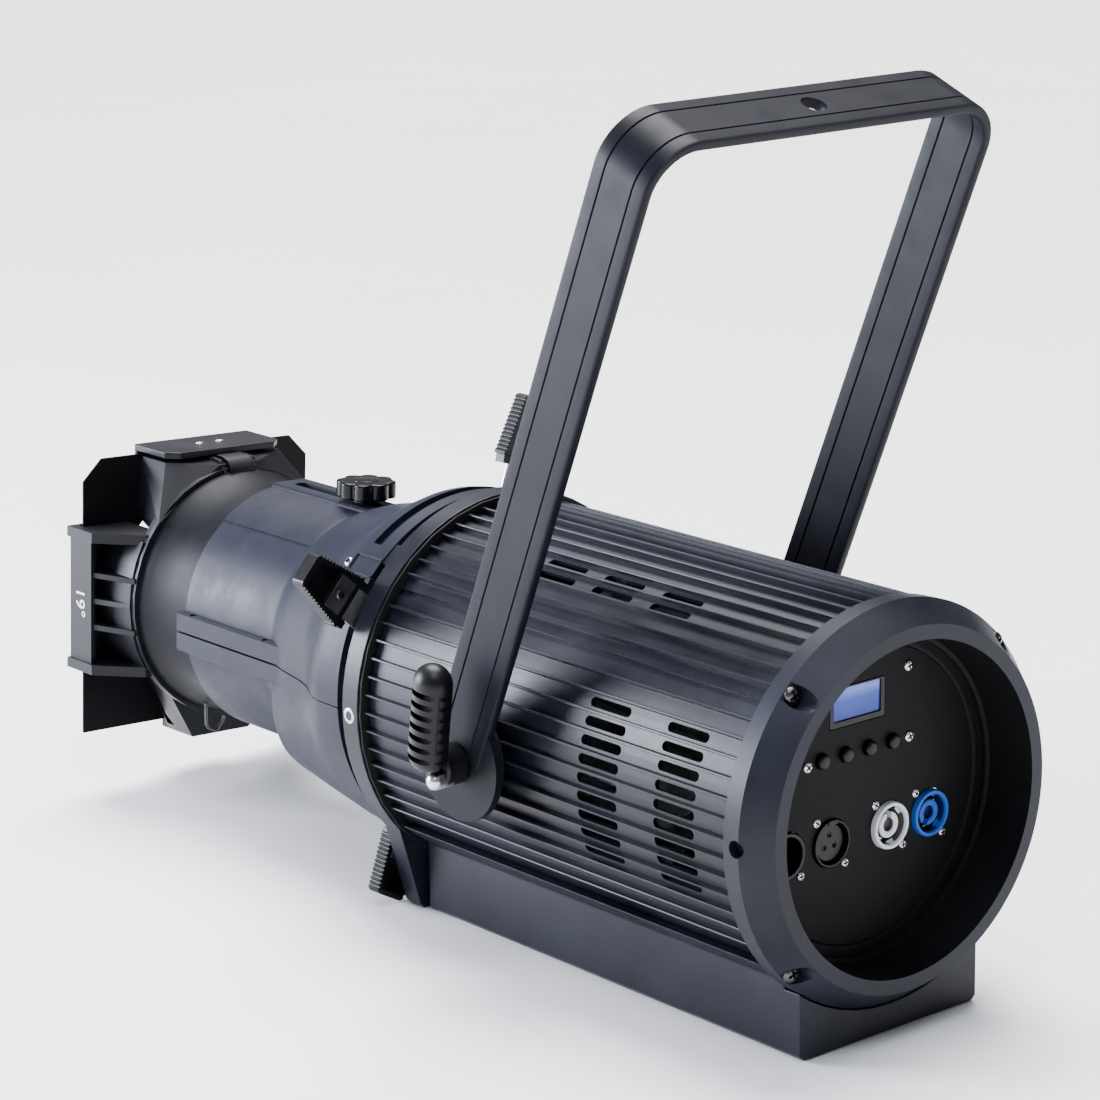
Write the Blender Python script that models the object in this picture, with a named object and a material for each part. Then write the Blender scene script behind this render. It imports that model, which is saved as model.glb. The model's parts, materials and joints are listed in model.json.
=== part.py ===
"""Ellipsoidal LED spotlight with a 19 degree lens tube, lying on its driver base with the yoke tilted back.

The optical axis runs along Y. The lens points towards -Y and the rear panel faces +Y.
Lengths below are millimetres; they are scaled to metres once, where a mesh is made.
The world origin is the middle of the base's underside.
"""

from math import atan2, cos, degrees, pi, radians, sin

import bmesh
import bpy
from mathutils import Vector

MM = 0.001
GAP = 0.4

# Where the optical axis lies in the world
AXIS_HEIGHT = 115.0
REAR_FACE_Y = 154.0

# Rear bezel and control panel
OPENING_RADIUS = 82.8
RIM_RADIUS = 90.1
BEZEL_RADIUS = 100.5
BEZEL_FRONT_Y = -24.4
PANEL_Y = -31.2
PANEL_RADIUS = 73.8
PANEL_THICKNESS = 2.0
DISPLAY_CENTRE = (6.4, 47.5)
DISPLAY_SIZE = (37.0, 20.0)
BUTTON_X = (30.1, 14.3, -1.4, -17.2)
BUTTON_Z = 23.7
BUTTON_RADIUS = 3.7
CONNECTOR_Z = -18.6
CONNECTOR_X = {"data_input": 53.0, "data_output": 23.6, "power_outlet": -15.8, "power_inlet": -43.5}
CONNECTOR_BORE = 11.9

# Finned shell
WALL_INNER = 92.8
WALL_OUTER = 95.3
FIN_TIP = 98.8
FIN_WIDTH = 1.2
FIN_COUNT = 64
FIN_OFFSET = 1.0
SHELL_REAR_Y = -24.8
SHELL_FRONT_Y = -296.2
SEAM_FINS = (7, 25)
COVERED_FINS = range(39, 58)
SIDE_VENTS = ((-132.6, -103.8), (-77.6, -49.3))
TOP_VENTS = ((-217.0, -188.4), (-174.4, -145.8), (-131.6, -103.8))
VENT_WIDTH = 5.0

# Driver base and front end plate
BASE_HALF_WIDTH = 60.2
BASE_BOTTOM = -115.0
BASE_REAR_Y = -13.5
BASE_FRONT_Y = -294.5
PLATE_RADIUS = 101.8
PLATE_REAR_Y = -298.4
PLATE_FRONT_Y = -311.0

# Yoke, its tilt axis and its clamps
PIVOT_Y = -204.0
YOKE_TILT = 22.8
YOKE_OUTER = 112.4
YOKE_THICKNESS = 5.4
YOKE_WIDTH = 37.0
YOKE_HEIGHT = 354.0
YOKE_BEND = 27.0
YOKE_END_RADIUS = 30.3
YOKE_ARM_SHIFT = -3.0

# Rotating barrel, shutters and lens tube
BARREL_TURN = 3.0
BARREL_RADIUS = 71.0
BARREL_BORE = 66.6
BARREL_REAR_Y = -321.4
BARREL_FRONT_Y = -497.0
TUBE_RADIUS = 66.0
TUBE_REAR_Y = -405.0
FLARE_RADIUS = 71.4
KNOB_Y = -425.0
APERTURE_RADIUS = 34.0
FRAME_Y = -588.0
FRAME_HALF_WIDTH = 79.4
FRAME_TOP = 77.7
FRAME_BOTTOM = -84.1
HINGE_Y = -559.0
HINGE_Z = 80.5

# name: (direction, sideways offset of the handle's line, how far out the handle stands, layer)
SHUTTERS = {
    "side": (42.0, 20.6, 0.0, 0),
    "top": (108.5, 11.7, 9.0, 1),
    "bottom": (-61.0, -10.0, -8.8, 2),
    "far": (211.0, 0.0, 0.0, 3),
}


def clear_scene():
    for obj in list(bpy.data.objects):
        bpy.data.objects.remove(obj, do_unlink=True)


def material(name, colour, roughness, metallic=0.0):
    found = bpy.data.materials.get(name)
    if found:
        return found
    made = bpy.data.materials.new(name)
    made.use_nodes = True
    shader = made.node_tree.nodes["Principled BSDF"]
    shader.inputs["Base Color"].default_value = (*colour, 1.0)
    shader.inputs["Roughness"].default_value = roughness
    shader.inputs["Metallic"].default_value = metallic
    return made


def textured_paint():
    return material("textured_paint", (0.045, 0.048, 0.062), 0.55)


def satin_paint():
    return material("satin_paint", (0.075, 0.082, 0.115), 0.38)


def yoke_paint():
    return material("yoke_paint", (0.075, 0.082, 0.115), 0.38)


def black_plastic():
    return material("black_plastic", (0.018, 0.019, 0.022), 0.5)


def matte_black():
    return material("matte_black", (0.008, 0.008, 0.01), 0.7)


def bare_steel():
    return material("bare_steel", (0.55, 0.55, 0.56), 0.35, 1.0)


def bare_aluminium():
    return material("bare_aluminium", (0.7, 0.71, 0.73), 0.4, 1.0)


def clear_glass():
    return material("clear_glass", (0.85, 0.9, 0.92), 0.05)


def display_blue():
    return material("display_blue", (0.05, 0.09, 0.45), 0.15)


def inlet_blue():
    return material("inlet_blue", (0.02, 0.14, 0.5), 0.4)


def outlet_grey():
    return material("outlet_grey", (0.62, 0.63, 0.65), 0.45)


def circuit_green():
    return material("circuit_green", (0.02, 0.16, 0.06), 0.5)


def empty(name, location, parent=None, turn_y=0.0):
    holder = bpy.data.objects.new(name, None)
    bpy.context.scene.collection.objects.link(holder)
    holder.location = Vector(location) * MM
    holder.rotation_euler = (0.0, radians(turn_y), 0.0)
    holder.parent = parent
    return holder


def piece(name, parts, surface, parent, location=(0, 0, 0), rotation=(0, 0, 0), cutters=(), unions=()):
    """One node from closed shapes drawn in millimetres about its own origin."""
    obj = mesh_object(name, parts)
    obj.data.materials.append(surface)
    obj.parent = parent
    obj.location = Vector(location) * MM
    obj.rotation_euler = [radians(angle) for angle in rotation]
    for count, (operation, shapes) in enumerate(
        [("UNION", shape) for shape in unions] + [("DIFFERENCE", shape) for shape in cutters]
    ):
        helper = mesh_object(f"{name}.helper{count}", shapes)
        helper.parent = obj
        helper.hide_render = True
        helper.display_type = "WIRE"
        modifier = obj.modifiers.new(operation.title(), "BOOLEAN")
        modifier.operation = operation
        modifier.solver = "EXACT"
        modifier.object = helper
    return obj


def mesh_object(name, parts):
    body = bmesh.new()
    for part in parts:
        part(body)
    bmesh.ops.recalc_face_normals(body, faces=body.faces)
    bmesh.ops.scale(body, vec=(MM, MM, MM), verts=body.verts)
    mesh = bpy.data.meshes.new(name)
    body.to_mesh(mesh)
    body.free()
    mesh.shade_smooth()
    mesh.set_sharp_from_angle(angle=radians(32))
    obj = bpy.data.objects.new(name, mesh)
    bpy.context.scene.collection.objects.link(obj)
    return obj


def along(axis, u, v, t):
    """A point with in-plane coordinates u, v at height t along an axis."""
    return {"x": (t, u, v), "y": (u, t, v), "z": (u, v, t)}[axis]


def prism(outline, start, end, axis="y"):
    """A straight extrusion of an outline between two heights on an axis."""

    def build(body):
        rings = [[body.verts.new(along(axis, u, v, t)) for u, v in outline] for t in (start, end)]
        body.faces.new(rings[0])
        body.faces.new(rings[1])
        for i in range(len(outline)):
            j = (i + 1) % len(outline)
            body.faces.new((rings[0][i], rings[0][j], rings[1][j], rings[1][i]))

    return build


def box(x0, x1, y0, y1, z0, z1):
    return prism(((x0, z0), (x1, z0), (x1, z1), (x0, z1)), y0, y1)


def circle(radius, count=32, centre=(0, 0), phase=0.0):
    steps = [2 * pi * i / count + radians(phase) for i in range(count)]
    return [(centre[0] + radius * cos(a), centre[1] + radius * sin(a)) for a in steps]


def arc(radius, start, end, count, centre=(0, 0)):
    steps = [radians(start + (end - start) * i / count) for i in range(count + 1)]
    return [(centre[0] + radius * cos(a), centre[1] + radius * sin(a)) for a in steps]


def cylinder(radius, start, end, axis="y", count=32, centre=(0, 0)):
    return prism(circle(radius, count, centre), start, end, axis)


def rounded(width, height, radius, steps=3, centre=(0, 0)):
    """The outline of a rectangle with round corners."""
    corners = ((1, 1, 0), (-1, 1, 90), (-1, -1, 180), (1, -1, 270))
    outline = []
    for sx, sy, start in corners:
        middle = (centre[0] + sx * (width / 2 - radius), centre[1] + sy * (height / 2 - radius))
        outline += arc(radius, start, start + 90, steps, middle)
    return outline


def turned(profile, count=64, start=0.0, end=360.0, axis="y"):
    """A closed profile of (radius, height) points turned about an axis, all the way or part of it."""
    whole = abs(end - start - 360.0) < 1e-6
    turns = count if whole else count + 1

    def build(body):
        rings = []
        for i in range(turns):
            angle = radians(start + (end - start) * i / count)
            rings.append([body.verts.new(along(axis, r * cos(angle), r * sin(angle), t)) for r, t in profile])
        for i in range(count):
            here, there = rings[i], rings[(i + 1) % turns]
            for j in range(len(profile)):
                k = (j + 1) % len(profile)
                body.faces.new((here[j], here[k], there[k], there[j]))
        if not whole:
            body.faces.new(rings[0])
            body.faces.new(rings[-1])

    return build


def domed(profile, count=48, axis="y"):
    """A profile of (radius, height) points from the axis out and back to it, turned all the way."""

    def build(body):
        first = body.verts.new(along(axis, 0, 0, profile[0][1]))
        last = body.verts.new(along(axis, 0, 0, profile[-1][1]))
        rings = []
        for r, t in profile[1:-1]:
            rings.append([body.verts.new(along(axis, u, v, t)) for u, v in circle(r, count)])
        for i in range(count):
            j = (i + 1) % count
            body.faces.new((first, rings[0][i], rings[0][j]))
            body.faces.new((last, rings[-1][j], rings[-1][i]))
            for inner, outer in zip(rings, rings[1:]):
                body.faces.new((inner[i], outer[i], outer[j], inner[j]))

    return build


def hull(points):
    """The convex solid round a few corner points."""

    def build(body):
        corners = [body.verts.new(point) for point in points]
        bmesh.ops.convex_hull(body, input=corners)

    return build


def both_sides(points):
    return [(side * x, y, z) for side in (1, -1) for x, y, z in points]


def spun(part, angle, pivot=(0, 0)):
    """The same shape turned about the Y direction through a point (x, z), anticlockwise from +X to +Z."""

    def build(body):
        known = set(body.verts)
        part(body)
        turn, lean = cos(radians(angle)), sin(radians(angle))
        for vert in body.verts:
            if vert not in known:
                x, z = vert.co.x - pivot[0], vert.co.z - pivot[1]
                vert.co.x = pivot[0] + x * turn - z * lean
                vert.co.z = pivot[1] + x * lean + z * turn

    return build


# Rear end


def rear_bezel(frame):
    profile = [
        (OPENING_RADIUS, 0), (RIM_RADIUS, 0), (BEZEL_RADIUS, -14), (BEZEL_RADIUS - 0.4, BEZEL_FRONT_Y),
        (WALL_INNER - GAP, BEZEL_FRONT_Y), (WALL_INNER - GAP, -40), (88.4, -40), (88.4, -35.2),
        (PANEL_RADIUS + GAP, -35.2), (PANEL_RADIUS + GAP, PANEL_Y + 0.8), (80.2, PANEL_Y + 0.8),
    ]
    pockets = [
        spun(cylinder(5.6, 2, -13, count=10, centre=(95.6, 0)), angle) for angle in (45, 135, 225, 315)
    ]
    side_holes = [
        cylinder(4.3, side * 95, side * 104, "x", 10, (-16.1, 0)) for side in (1, -1)
    ]
    piece("rear_bezel", [turned(profile, 52)], textured_paint(), frame, cutters=[pockets, side_holes])


def bezel_screws(frame):
    for number, angle in enumerate((45, 135, 225, 315), 1):
        shape = domed([(0, -12.6), (4.6, -12.6), (4.6, -10.2), (3.2, -8.6), (0, -8.6)], 12)
        where = (95.6 * cos(radians(angle)), 0, 95.6 * sin(radians(angle)))
        piece(f"bezel_screw_{number}", [shape], bare_steel(), frame, where)


def control_panel(frame):
    display = prism(rounded(DISPLAY_SIZE[0] + 0.8, DISPLAY_SIZE[1] + 0.8, 1.4, 2, DISPLAY_CENTRE), -20, -40)
    buttons = [cylinder(BUTTON_RADIUS + GAP, -20, -40, count=12, centre=(x, BUTTON_Z)) for x in BUTTON_X]
    sockets = [
        cylinder(CONNECTOR_BORE + GAP, -20, -40, count=16, centre=(x, CONNECTOR_Z))
        for x in CONNECTOR_X.values()
    ]
    piece(
        "control_panel",
        [cylinder(PANEL_RADIUS, PANEL_Y - PANEL_THICKNESS, PANEL_Y, count=48)],
        matte_black(), frame, cutters=[[display, *buttons, *sockets]],
    )


def display(frame):
    window = prism(rounded(*DISPLAY_SIZE, 1.2, 2, DISPLAY_CENTRE), PANEL_Y - 2.6, PANEL_Y + 0.2)
    piece("display_window", [window], display_blue(), frame)
    x, z = DISPLAY_CENTRE
    board = box(x - 33, x + 33, -37.6, -36, z - 30, z + 14)
    spacer = box(x - 17, x + 17, -36.2, -34.2, z - 8.5, z + 8.5)
    switches = [
        cylinder(2.6, -36.4, -35.4, count=8, centre=(place, BUTTON_Z)) for place in BUTTON_X
    ]
    piece("display_board", [board], circuit_green(), frame, unions=[[spacer], switches])


def menu_buttons(frame):
    for number, x in enumerate(BUTTON_X, 1):
        cap = [(0, 3.4), (BUTTON_RADIUS - 0.5, 3.4), (BUTTON_RADIUS, 2.8), (BUTTON_RADIUS, -2.2), (4.6, -2.2),
               (4.6, -2.9), (0, -2.9)]
        piece(f"menu_button_{number}", [domed(cap, 10)], black_plastic(), frame, (x, PANEL_Y, BUTTON_Z))


def connector_flange():
    """The socket's square plate, which lies behind the panel."""
    return prism(rounded(25.6, 30.6, 3.0, 2), -4.2, -2.3)


def data_input(frame):
    """A male socket: a cup with three pins."""
    profile = [(CONNECTOR_BORE, 1.0), (CONNECTOR_BORE, -22), (1.0, -22), (1.0, -15), (9.4, -15), (9.4, 1.0)]
    cup = turned(profile, 16)
    floor = cylinder(2.0, -22, -15, count=12)
    pins = [cylinder(1.2, -16, -2.5, count=6, centre=spot) for spot in circle(3.6, 3, phase=30)]
    piece(
        "data_input", [connector_flange()], black_plastic(), frame,
        (CONNECTOR_X["data_input"], PANEL_Y, CONNECTOR_Z),
        cutters=[[cylinder(10.4, -5, 5, count=16)]], unions=[[cup], [floor], pins],
    )


def data_output(frame):
    """A female socket: a solid face with three sockets and a release tab."""
    barrel = cylinder(CONNECTOR_BORE, -22, 1.0, count=16)
    sockets = [cylinder(1.4, -9, 5, count=6, centre=spot) for spot in circle(3.6, 3, phase=210)]
    tab = box(-3.2, 3.2, 0.2, 2.2, 8.0, 11.3)
    groove = turned([(10.2, 5), (10.2, -6), (9.2, -6), (9.2, 5)], 16)
    piece(
        "data_output", [connector_flange()], black_plastic(), frame,
        (CONNECTOR_X["data_output"], PANEL_Y, CONNECTOR_Z), unions=[[barrel], [tab]],
        cutters=[[groove], sockets],
    )


def power_sockets(frame):
    """Two locking mains sockets with a ring recess round a keyed core."""
    for name, surface in (("power_outlet", outlet_grey()), ("power_inlet", inlet_blue())):
        barrel = cylinder(CONNECTOR_BORE, -24, 2.6, count=16)
        recess = turned([(10.2, 5), (10.2, -12), (6.6, -12), (6.6, 5)], 16)
        key = box(-1.6, 1.6, -8, 5, 2.4, 7.0)
        piece(
            name, [connector_flange()], surface, frame, (CONNECTOR_X[name], PANEL_Y, CONNECTOR_Z),
            unions=[[barrel]], cutters=[[recess], [key]],
        )


# Finned shell, base and front end plate


def shell_outline():
    """The wall's outer edge with a radial fin at each division, flat where the base covers it."""
    half = degrees(FIN_WIDTH / 2 / FIN_TIP)
    pitch = 360.0 / FIN_COUNT
    outline = []
    for number in range(FIN_COUNT):
        angle = FIN_OFFSET + number * pitch
        if number in COVERED_FINS:
            outline += arc(WALL_OUTER, angle, angle, 1)[:1]
        elif number in SEAM_FINS:
            for radius, shift in ((WALL_OUTER, -0.95), (WALL_OUTER - 1.2, -0.9), (WALL_OUTER - 1.2, 0.9),
                                  (WALL_OUTER, 0.95)):
                outline += arc(radius, angle + shift, angle + shift, 1)[:1]
        else:
            for radius, shift in ((WALL_OUTER, -half), (FIN_TIP, -half), (FIN_TIP, half), (WALL_OUTER, half)):
                outline += arc(radius, angle + shift, angle + shift, 1)[:1]
    return outline


def vent(angle, front, rear):
    """A rounded slot cut through the wall between two fins."""
    middle, length = (front + rear) / 2, rear - front
    outline = [(y + middle, z) for y, z in rounded(length, VENT_WIDTH, VENT_WIDTH / 2 - 0.01, 1)]
    return spun(prism(outline, WALL_INNER - 4, WALL_OUTER + 2, "x"), angle)


def housing_shell(frame):
    pitch = 360.0 / FIN_COUNT
    gap_angle = [FIN_OFFSET + (number + 0.5) * pitch for number in range(FIN_COUNT)]
    side_rows = [*range(5), 60, 61, 62, 63, *range(27, 36)]
    vents = [vent(gap_angle[row], *column) for row in side_rows for column in SIDE_VENTS]
    vents += [vent(gap_angle[row], *column) for row in (10, 11, 20, 21) for column in TOP_VENTS]
    bore = cylinder(WALL_INNER, SHELL_REAR_Y + 2, SHELL_FRONT_Y - 2, count=48)
    piece(
        "housing_shell", [prism(shell_outline(), SHELL_REAR_Y, SHELL_FRONT_Y)], textured_paint(), frame,
        cutters=[[bore], vents],
    )


def base_housing(frame):
    lip = (77.2, -64.2)
    half = [(BASE_HALF_WIDTH - 2.5, BASE_BOTTOM), (BASE_HALF_WIDTH, BASE_BOTTOM + 2.5),
            (BASE_HALF_WIDTH, -77.0), lip]
    outline = half + [(-x, z) for x, z in reversed(half)]
    pocket = box(-57.4, 57.4, BASE_FRONT_Y + 2.8, BASE_REAR_Y - 2.8, BASE_BOTTOM + 2.8, -50)
    shell_space = cylinder(WALL_OUTER + GAP, BASE_REAR_Y + 5, BASE_FRONT_Y - 5, count=56)
    bezel_space = cylinder(BEZEL_RADIUS + GAP, BASE_REAR_Y + 6, BEZEL_FRONT_Y - GAP, count=56)
    piece(
        "base_housing", [prism(outline, BASE_FRONT_Y, BASE_REAR_Y)], textured_paint(), frame,
        cutters=[[pocket], [shell_space], [bezel_space]],
    )


def front_end_plate(frame):
    rim = arc(PLATE_RADIUS, -42, 222, 48)
    leg = [(-63.0, BASE_BOTTOM + 3), (-60.5, BASE_BOTTOM), (60.5, BASE_BOTTOM), (63.0, BASE_BOTTOM + 3)]
    bore = cylinder(74.0, -290, -320, count=40)
    recess = cylinder(97.8, PLATE_REAR_Y - 5.0, -320, count=48)
    toe = prism(
        [(PLATE_FRONT_Y - 1, BASE_BOTTOM - 1), (PLATE_FRONT_Y + 4, BASE_BOTTOM - 1),
         (PLATE_FRONT_Y - 1, BASE_BOTTOM + 4)],
        -80, 80, "x",
    )
    piece(
        "front_end_plate", [prism(rim + leg, PLATE_FRONT_Y, PLATE_REAR_Y)], textured_paint(), frame,
        cutters=[[bore], [recess], [toe]],
    )
    gasket = turned([(WALL_OUTER, -296.6), (101.0, -296.6), (101.0, -298.0), (WALL_OUTER, -298.0)], 36)
    piece("end_gasket", [gasket], matte_black(), frame)


# Light engine, fan and electronics


def heat_sink(frame):
    """A round base with radial fins, drawn as one star-shaped extrusion on a disc."""
    outline = []
    for number in range(24):
        angle = number * 15.0
        for radius, width in ((24, -0.8), (78, -0.8), (78, 0.8), (24, 0.8)):
            outline.append((radius * cos(radians(angle)) - width * sin(radians(angle)),
                            radius * sin(radians(angle)) + width * cos(radians(angle))))
    star = prism(outline, -178, -98)
    disc = cylinder(84, -184, -177, count=24)
    piece("heat_sink", [star], bare_aluminium(), frame, unions=[[disc]])


def light_engine(frame):
    board = cylinder(33, -186.2, -184.4, count=24)
    chip = domed([(0, -186.0), (13, -186.0), (13, -187.6), (10, -190.0), (0, -191.2)], 16)
    piece("led_board", [board], circuit_green(), frame, unions=[[chip]])
    holder = [
        (38.4, -184.4), (46, -184.4), (46, -187), (42, -190), (42, -284), (92.0, -284), (92.0, -287),
        (36.6, -287),
        (36.6, -280), (38.8, -280), (38.8, -262.4), (36.6, -262.4), (36.6, -214), (38.4, -214),
    ]
    piece("lens_holder", [turned(holder, 20)], matte_black(), frame)
    condenser = [(0, -196), (38, -196), (38, -199), (30, -206), (18, -211), (0, -213)]
    piece("condenser_lens", [domed(condenser, 20)], clear_glass(), frame)
    field = [(0, -279.4), (38.2, -279.4), (38.2, -275), (28, -268), (14, -264.6), (0, -263.6)]
    piece("field_lens", [domed(field, 20)], clear_glass(), frame)


def cooling_fan(frame):
    frame_plate = prism(rounded(100, 100, 6, 2), -92, -64)
    openings = [turned([(46, -87), (46, -96), (22, -96), (22, -87)], 4, start, start + 80)
                for start in (5, 95, 185, 275)]
    piece("fan_frame", [frame_plate], black_plastic(), frame,
          cutters=[[cylinder(46.5, -60, -88.5, count=24)], openings])
    blades = []
    for number in range(7):
        blade = prism([(17, -1.0), (44.5, -7.0), (44.5, -4.6), (17, 1.4)], 9, -9)
        blades.append(spun(blade, number * 360 / 7))
    piece(
        "fan_rotor", [cylinder(19, -11, 11, count=20)], black_plastic(), frame, (0, -76.5, 0),
        unions=[[blade] for blade in blades],
    )


def electronics(frame):
    piece("power_supply", [box(-52, 52, -150, -24, -111.6, -104.2)], bare_steel(), frame)
    piece("driver_board", [box(-50, 50, -282, -160, -108, -106.4)], circuit_green(), frame)


# Tilt pivots, clamp levers and yoke


def pivots(frame):
    """On each side a round boss on the fins, with a ribbed clamp lever outside the yoke."""
    for side, name in ((1, "right"), (-1, "left")):
        inner = YOKE_OUTER - YOKE_THICKNESS - GAP
        boss = cylinder(22, side * 90, side * inner, "x", 28)
        shell = cylinder(FIN_TIP + 0.5, -40, 40, count=72)
        stud = cylinder(5.6, side * (inner - 3), side * (YOKE_OUTER + 3), "x", 14)
        piece(
            f"pivot_boss_{name}", [boss], textured_paint(), frame, (0, PIVOT_Y, 0),
            cutters=[[shell]], unions=[[stud]],
        )
        clamp_lever(frame, side, name)


def clamp_lever(frame, side, name):
    inner = YOKE_OUTER + GAP
    hub = turned([(6.2, inner), (10.6, inner), (10.6, 124), (9.4, 125.6), (6.2, 125.6)], 16, axis="x")
    capsule = arc(10.8, 0, 180, 9, (0, 45.6)) + arc(10.8, 180, 360, 9, (0, 10.0))
    body = prism(capsule, 121.7, 140.3, "x")
    slots = [
        prism(rounded(15.4, 2.9, 1.4, 1, (0.8, 8.0 + 5.7 * row)), 137.6, 145, "x") for row in range(7)
    ]
    mirror = [mirrored(part) if side < 0 else part for part in (hub, body, *slots)]
    lever = piece(
        f"clamp_lever_{name}", [mirror[1]], black_plastic(), frame, (0, PIVOT_Y, 0), (-8, 0, 0),
        unions=[[mirror[0]]], cutters=[mirror[2:]],
    )
    bevel = lever.modifiers.new("Bevel", "BEVEL")
    bevel.width = 4.5 * MM
    bevel.segments = 2
    bevel.limit_method = "ANGLE"
    bevel.angle_limit = radians(50)
    lever.modifiers.move(len(lever.modifiers) - 1, 0)


def mirrored(part):
    """The same shape reflected in the plane x = 0."""

    def build(body):
        known = set(body.verts)
        part(body)
        for vert in body.verts:
            if vert not in known:
                vert.co.x = -vert.co.x

    return build


def yoke_section():
    """Across the bar: rounded edges and two fine grooves in the outer face. Points are (inward, across)."""
    half, thick = YOKE_WIDTH / 2, YOKE_THICKNESS
    groove = half - 8.5
    edge = [(0, half - 1.6), (0.5, half - 0.5), (1.6, half), (thick - 1.6, half), (thick - 0.5, half - 0.5),
            (thick, half - 1.6)]
    outer = [(0, -groove - 0.6), (0.7, -groove), (0, -groove + 0.6), (0, groove - 0.6), (0.7, groove),
             (0, groove + 0.6)]
    return outer + edge + [(depth, -across) for depth, across in reversed(edge)]


def yoke_path():
    """Stations up one arm, over the top and down the other: the outer face's place and inward direction."""
    straight = YOKE_HEIGHT - YOKE_BEND
    corner = YOKE_OUTER - YOKE_BEND
    stations = [((YOKE_OUTER, 6.0), (-1.0, 0.0))]
    for step in range(7):
        angle = pi / 2 * step / 6
        stations.append(((corner + YOKE_BEND * cos(angle), straight + YOKE_BEND * sin(angle)),
                         (-cos(angle), -sin(angle))))
    return stations + [((-x, h), (-i, j)) for (x, h), (i, j) in reversed(stations)]


def yoke_bar(body):
    section = yoke_section()
    rings = []
    for (x, height), (inward_x, inward_z) in yoke_path():
        rings.append([
            body.verts.new((x + depth * inward_x, across + YOKE_ARM_SHIFT, height + depth * inward_z))
            for depth, across in section
        ])
    for here, there in zip(rings, rings[1:]):
        for i in range(len(section)):
            j = (i + 1) % len(section)
            body.faces.new((here[i], here[j], there[j], there[i]))
    body.faces.new(rings[0])
    body.faces.new(rings[-1])


def yoke(frame):
    ends, holes = [], []
    for side in (1, -1):
        outer, inner = side * (YOKE_OUTER - 0.5), side * (YOKE_OUTER - YOKE_THICKNESS + 0.3)
        ends.append(cylinder(YOKE_END_RADIUS, inner, outer, "x", 36))
        holes.append(cylinder(6.4, side * 90, side * 130, "x", 14))
    hanging_hole = cylinder(6.5, YOKE_HEIGHT - 20, YOKE_HEIGHT + 10, "z", 16, (0, YOKE_ARM_SHIFT))
    piece(
        "yoke", [yoke_bar], yoke_paint(), frame, (0, PIVOT_Y, 0), (-YOKE_TILT, 0, 0),
        unions=[[end] for end in ends], cutters=[[*holes, hanging_hole]],
    )


# Rotating barrel


def barrel_collar(barrel):
    profile = [(97.2, -303.9), (97.2, -313.2), (36.0, -313.2), (36.0, -310.4), (90.0, -310.4), (90.0, -303.9)]
    posts = [turned([(90.5, -312.5), (96.4, -312.5), (96.4, -321.0), (90.5, -321.0)], 3, start, start + 8)
             for start in (44, 134, 224, 314)]
    piece("barrel_collar", [turned(profile, 40)], satin_paint(), barrel, unions=[posts])


def barrel_halves(barrel):
    upper = [(97.0, BARREL_REAR_Y), (96.8, -338), (93.2, -350), (85.4, -364), (80.0, -384), (74.5, -407),
             (BARREL_RADIUS, -416), (BARREL_RADIUS, BARREL_FRONT_Y)]
    lower = [(97.0, BARREL_REAR_Y), (95.5, -336), (90.5, -374), (86.5, -404), (83.6, -413), (74.0, -419),
             (BARREL_RADIUS, -422), (BARREL_RADIUS, BARREL_FRONT_Y)]
    lining = [(BARREL_BORE, BARREL_FRONT_Y), (BARREL_BORE, -416), (70.4, -405), (75.0, -389), (78.6, -372),
              (86.0, -350), (91.8, -331), (92.0, BARREL_REAR_Y)]
    rail_slot = prism(rounded(8.0, 91.0, 3.9, 3, (0, -442.5)), 50, 90, "z")
    piece(
        "upper_barrel", [turned(upper + lining, 20, -3.8, 183.8)], satin_paint(), barrel,
        unions=[
            [box(-12, 12, -496.6, -396, 69, 73.2)],
            [box(69.5, 75.4, -499, -398, -4.4, 6.4)], [box(-75.4, -69.5, -499, -398, -4.4, 6.4)],
        ],
        cutters=[[rail_slot]],
    )
    piece(
        "lower_barrel", [turned(lower + lining, 18, 184.2, 355.8)], satin_paint(), barrel,
        unions=[[box(69.0, 75.4, -499, -398, -16, -5.6)], [box(-75.4, -69.0, -499, -398, -16, -5.6)]],
    )
    retainer = [(36.0, -321.6), (91.4, -321.6), (91.4, -324.0), (36.0, -324.0)]
    piece("gate_ring", [turned(retainer, 28)], matte_black(), barrel)


def shutters(barrel):
    """Four thin blades in stacked layers, each slid along its own handle's line."""
    for name, (direction, offset, out, layer) in SHUTTERS.items():
        turn = direction - BARREL_TURN
        across = (offset * sin(radians(turn)), -offset * cos(radians(turn)))
        y = -314.4 - 1.7 * layer
        blade = [(-6, -25), (8, -25), (26, -24), (30, -20), (34, -9), (112, -9), (112, 9), (34, 9),
                 (30, 40), (24, 54), (-6, 54)]
        if offset < 0:
            blade = [(u, -v) for u, v in reversed(blade)]
        elif offset == 0:
            blade = [(-6, -40), (24, -40), (30, -34), (34, -9), (112, -9), (112, 9), (34, 9), (30, 34),
                     (24, 40), (-6, 40)]
        place = (across[0] + out * cos(radians(turn)), y, across[1] + out * sin(radians(turn)))
        spin = (0, -turn, 0)
        piece(f"shutter_blade_{name}", [prism(blade, -0.5, 0.5)], bare_steel(), barrel, place, spin)
        shutter_handle(name, barrel, place, spin, layer)


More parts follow.
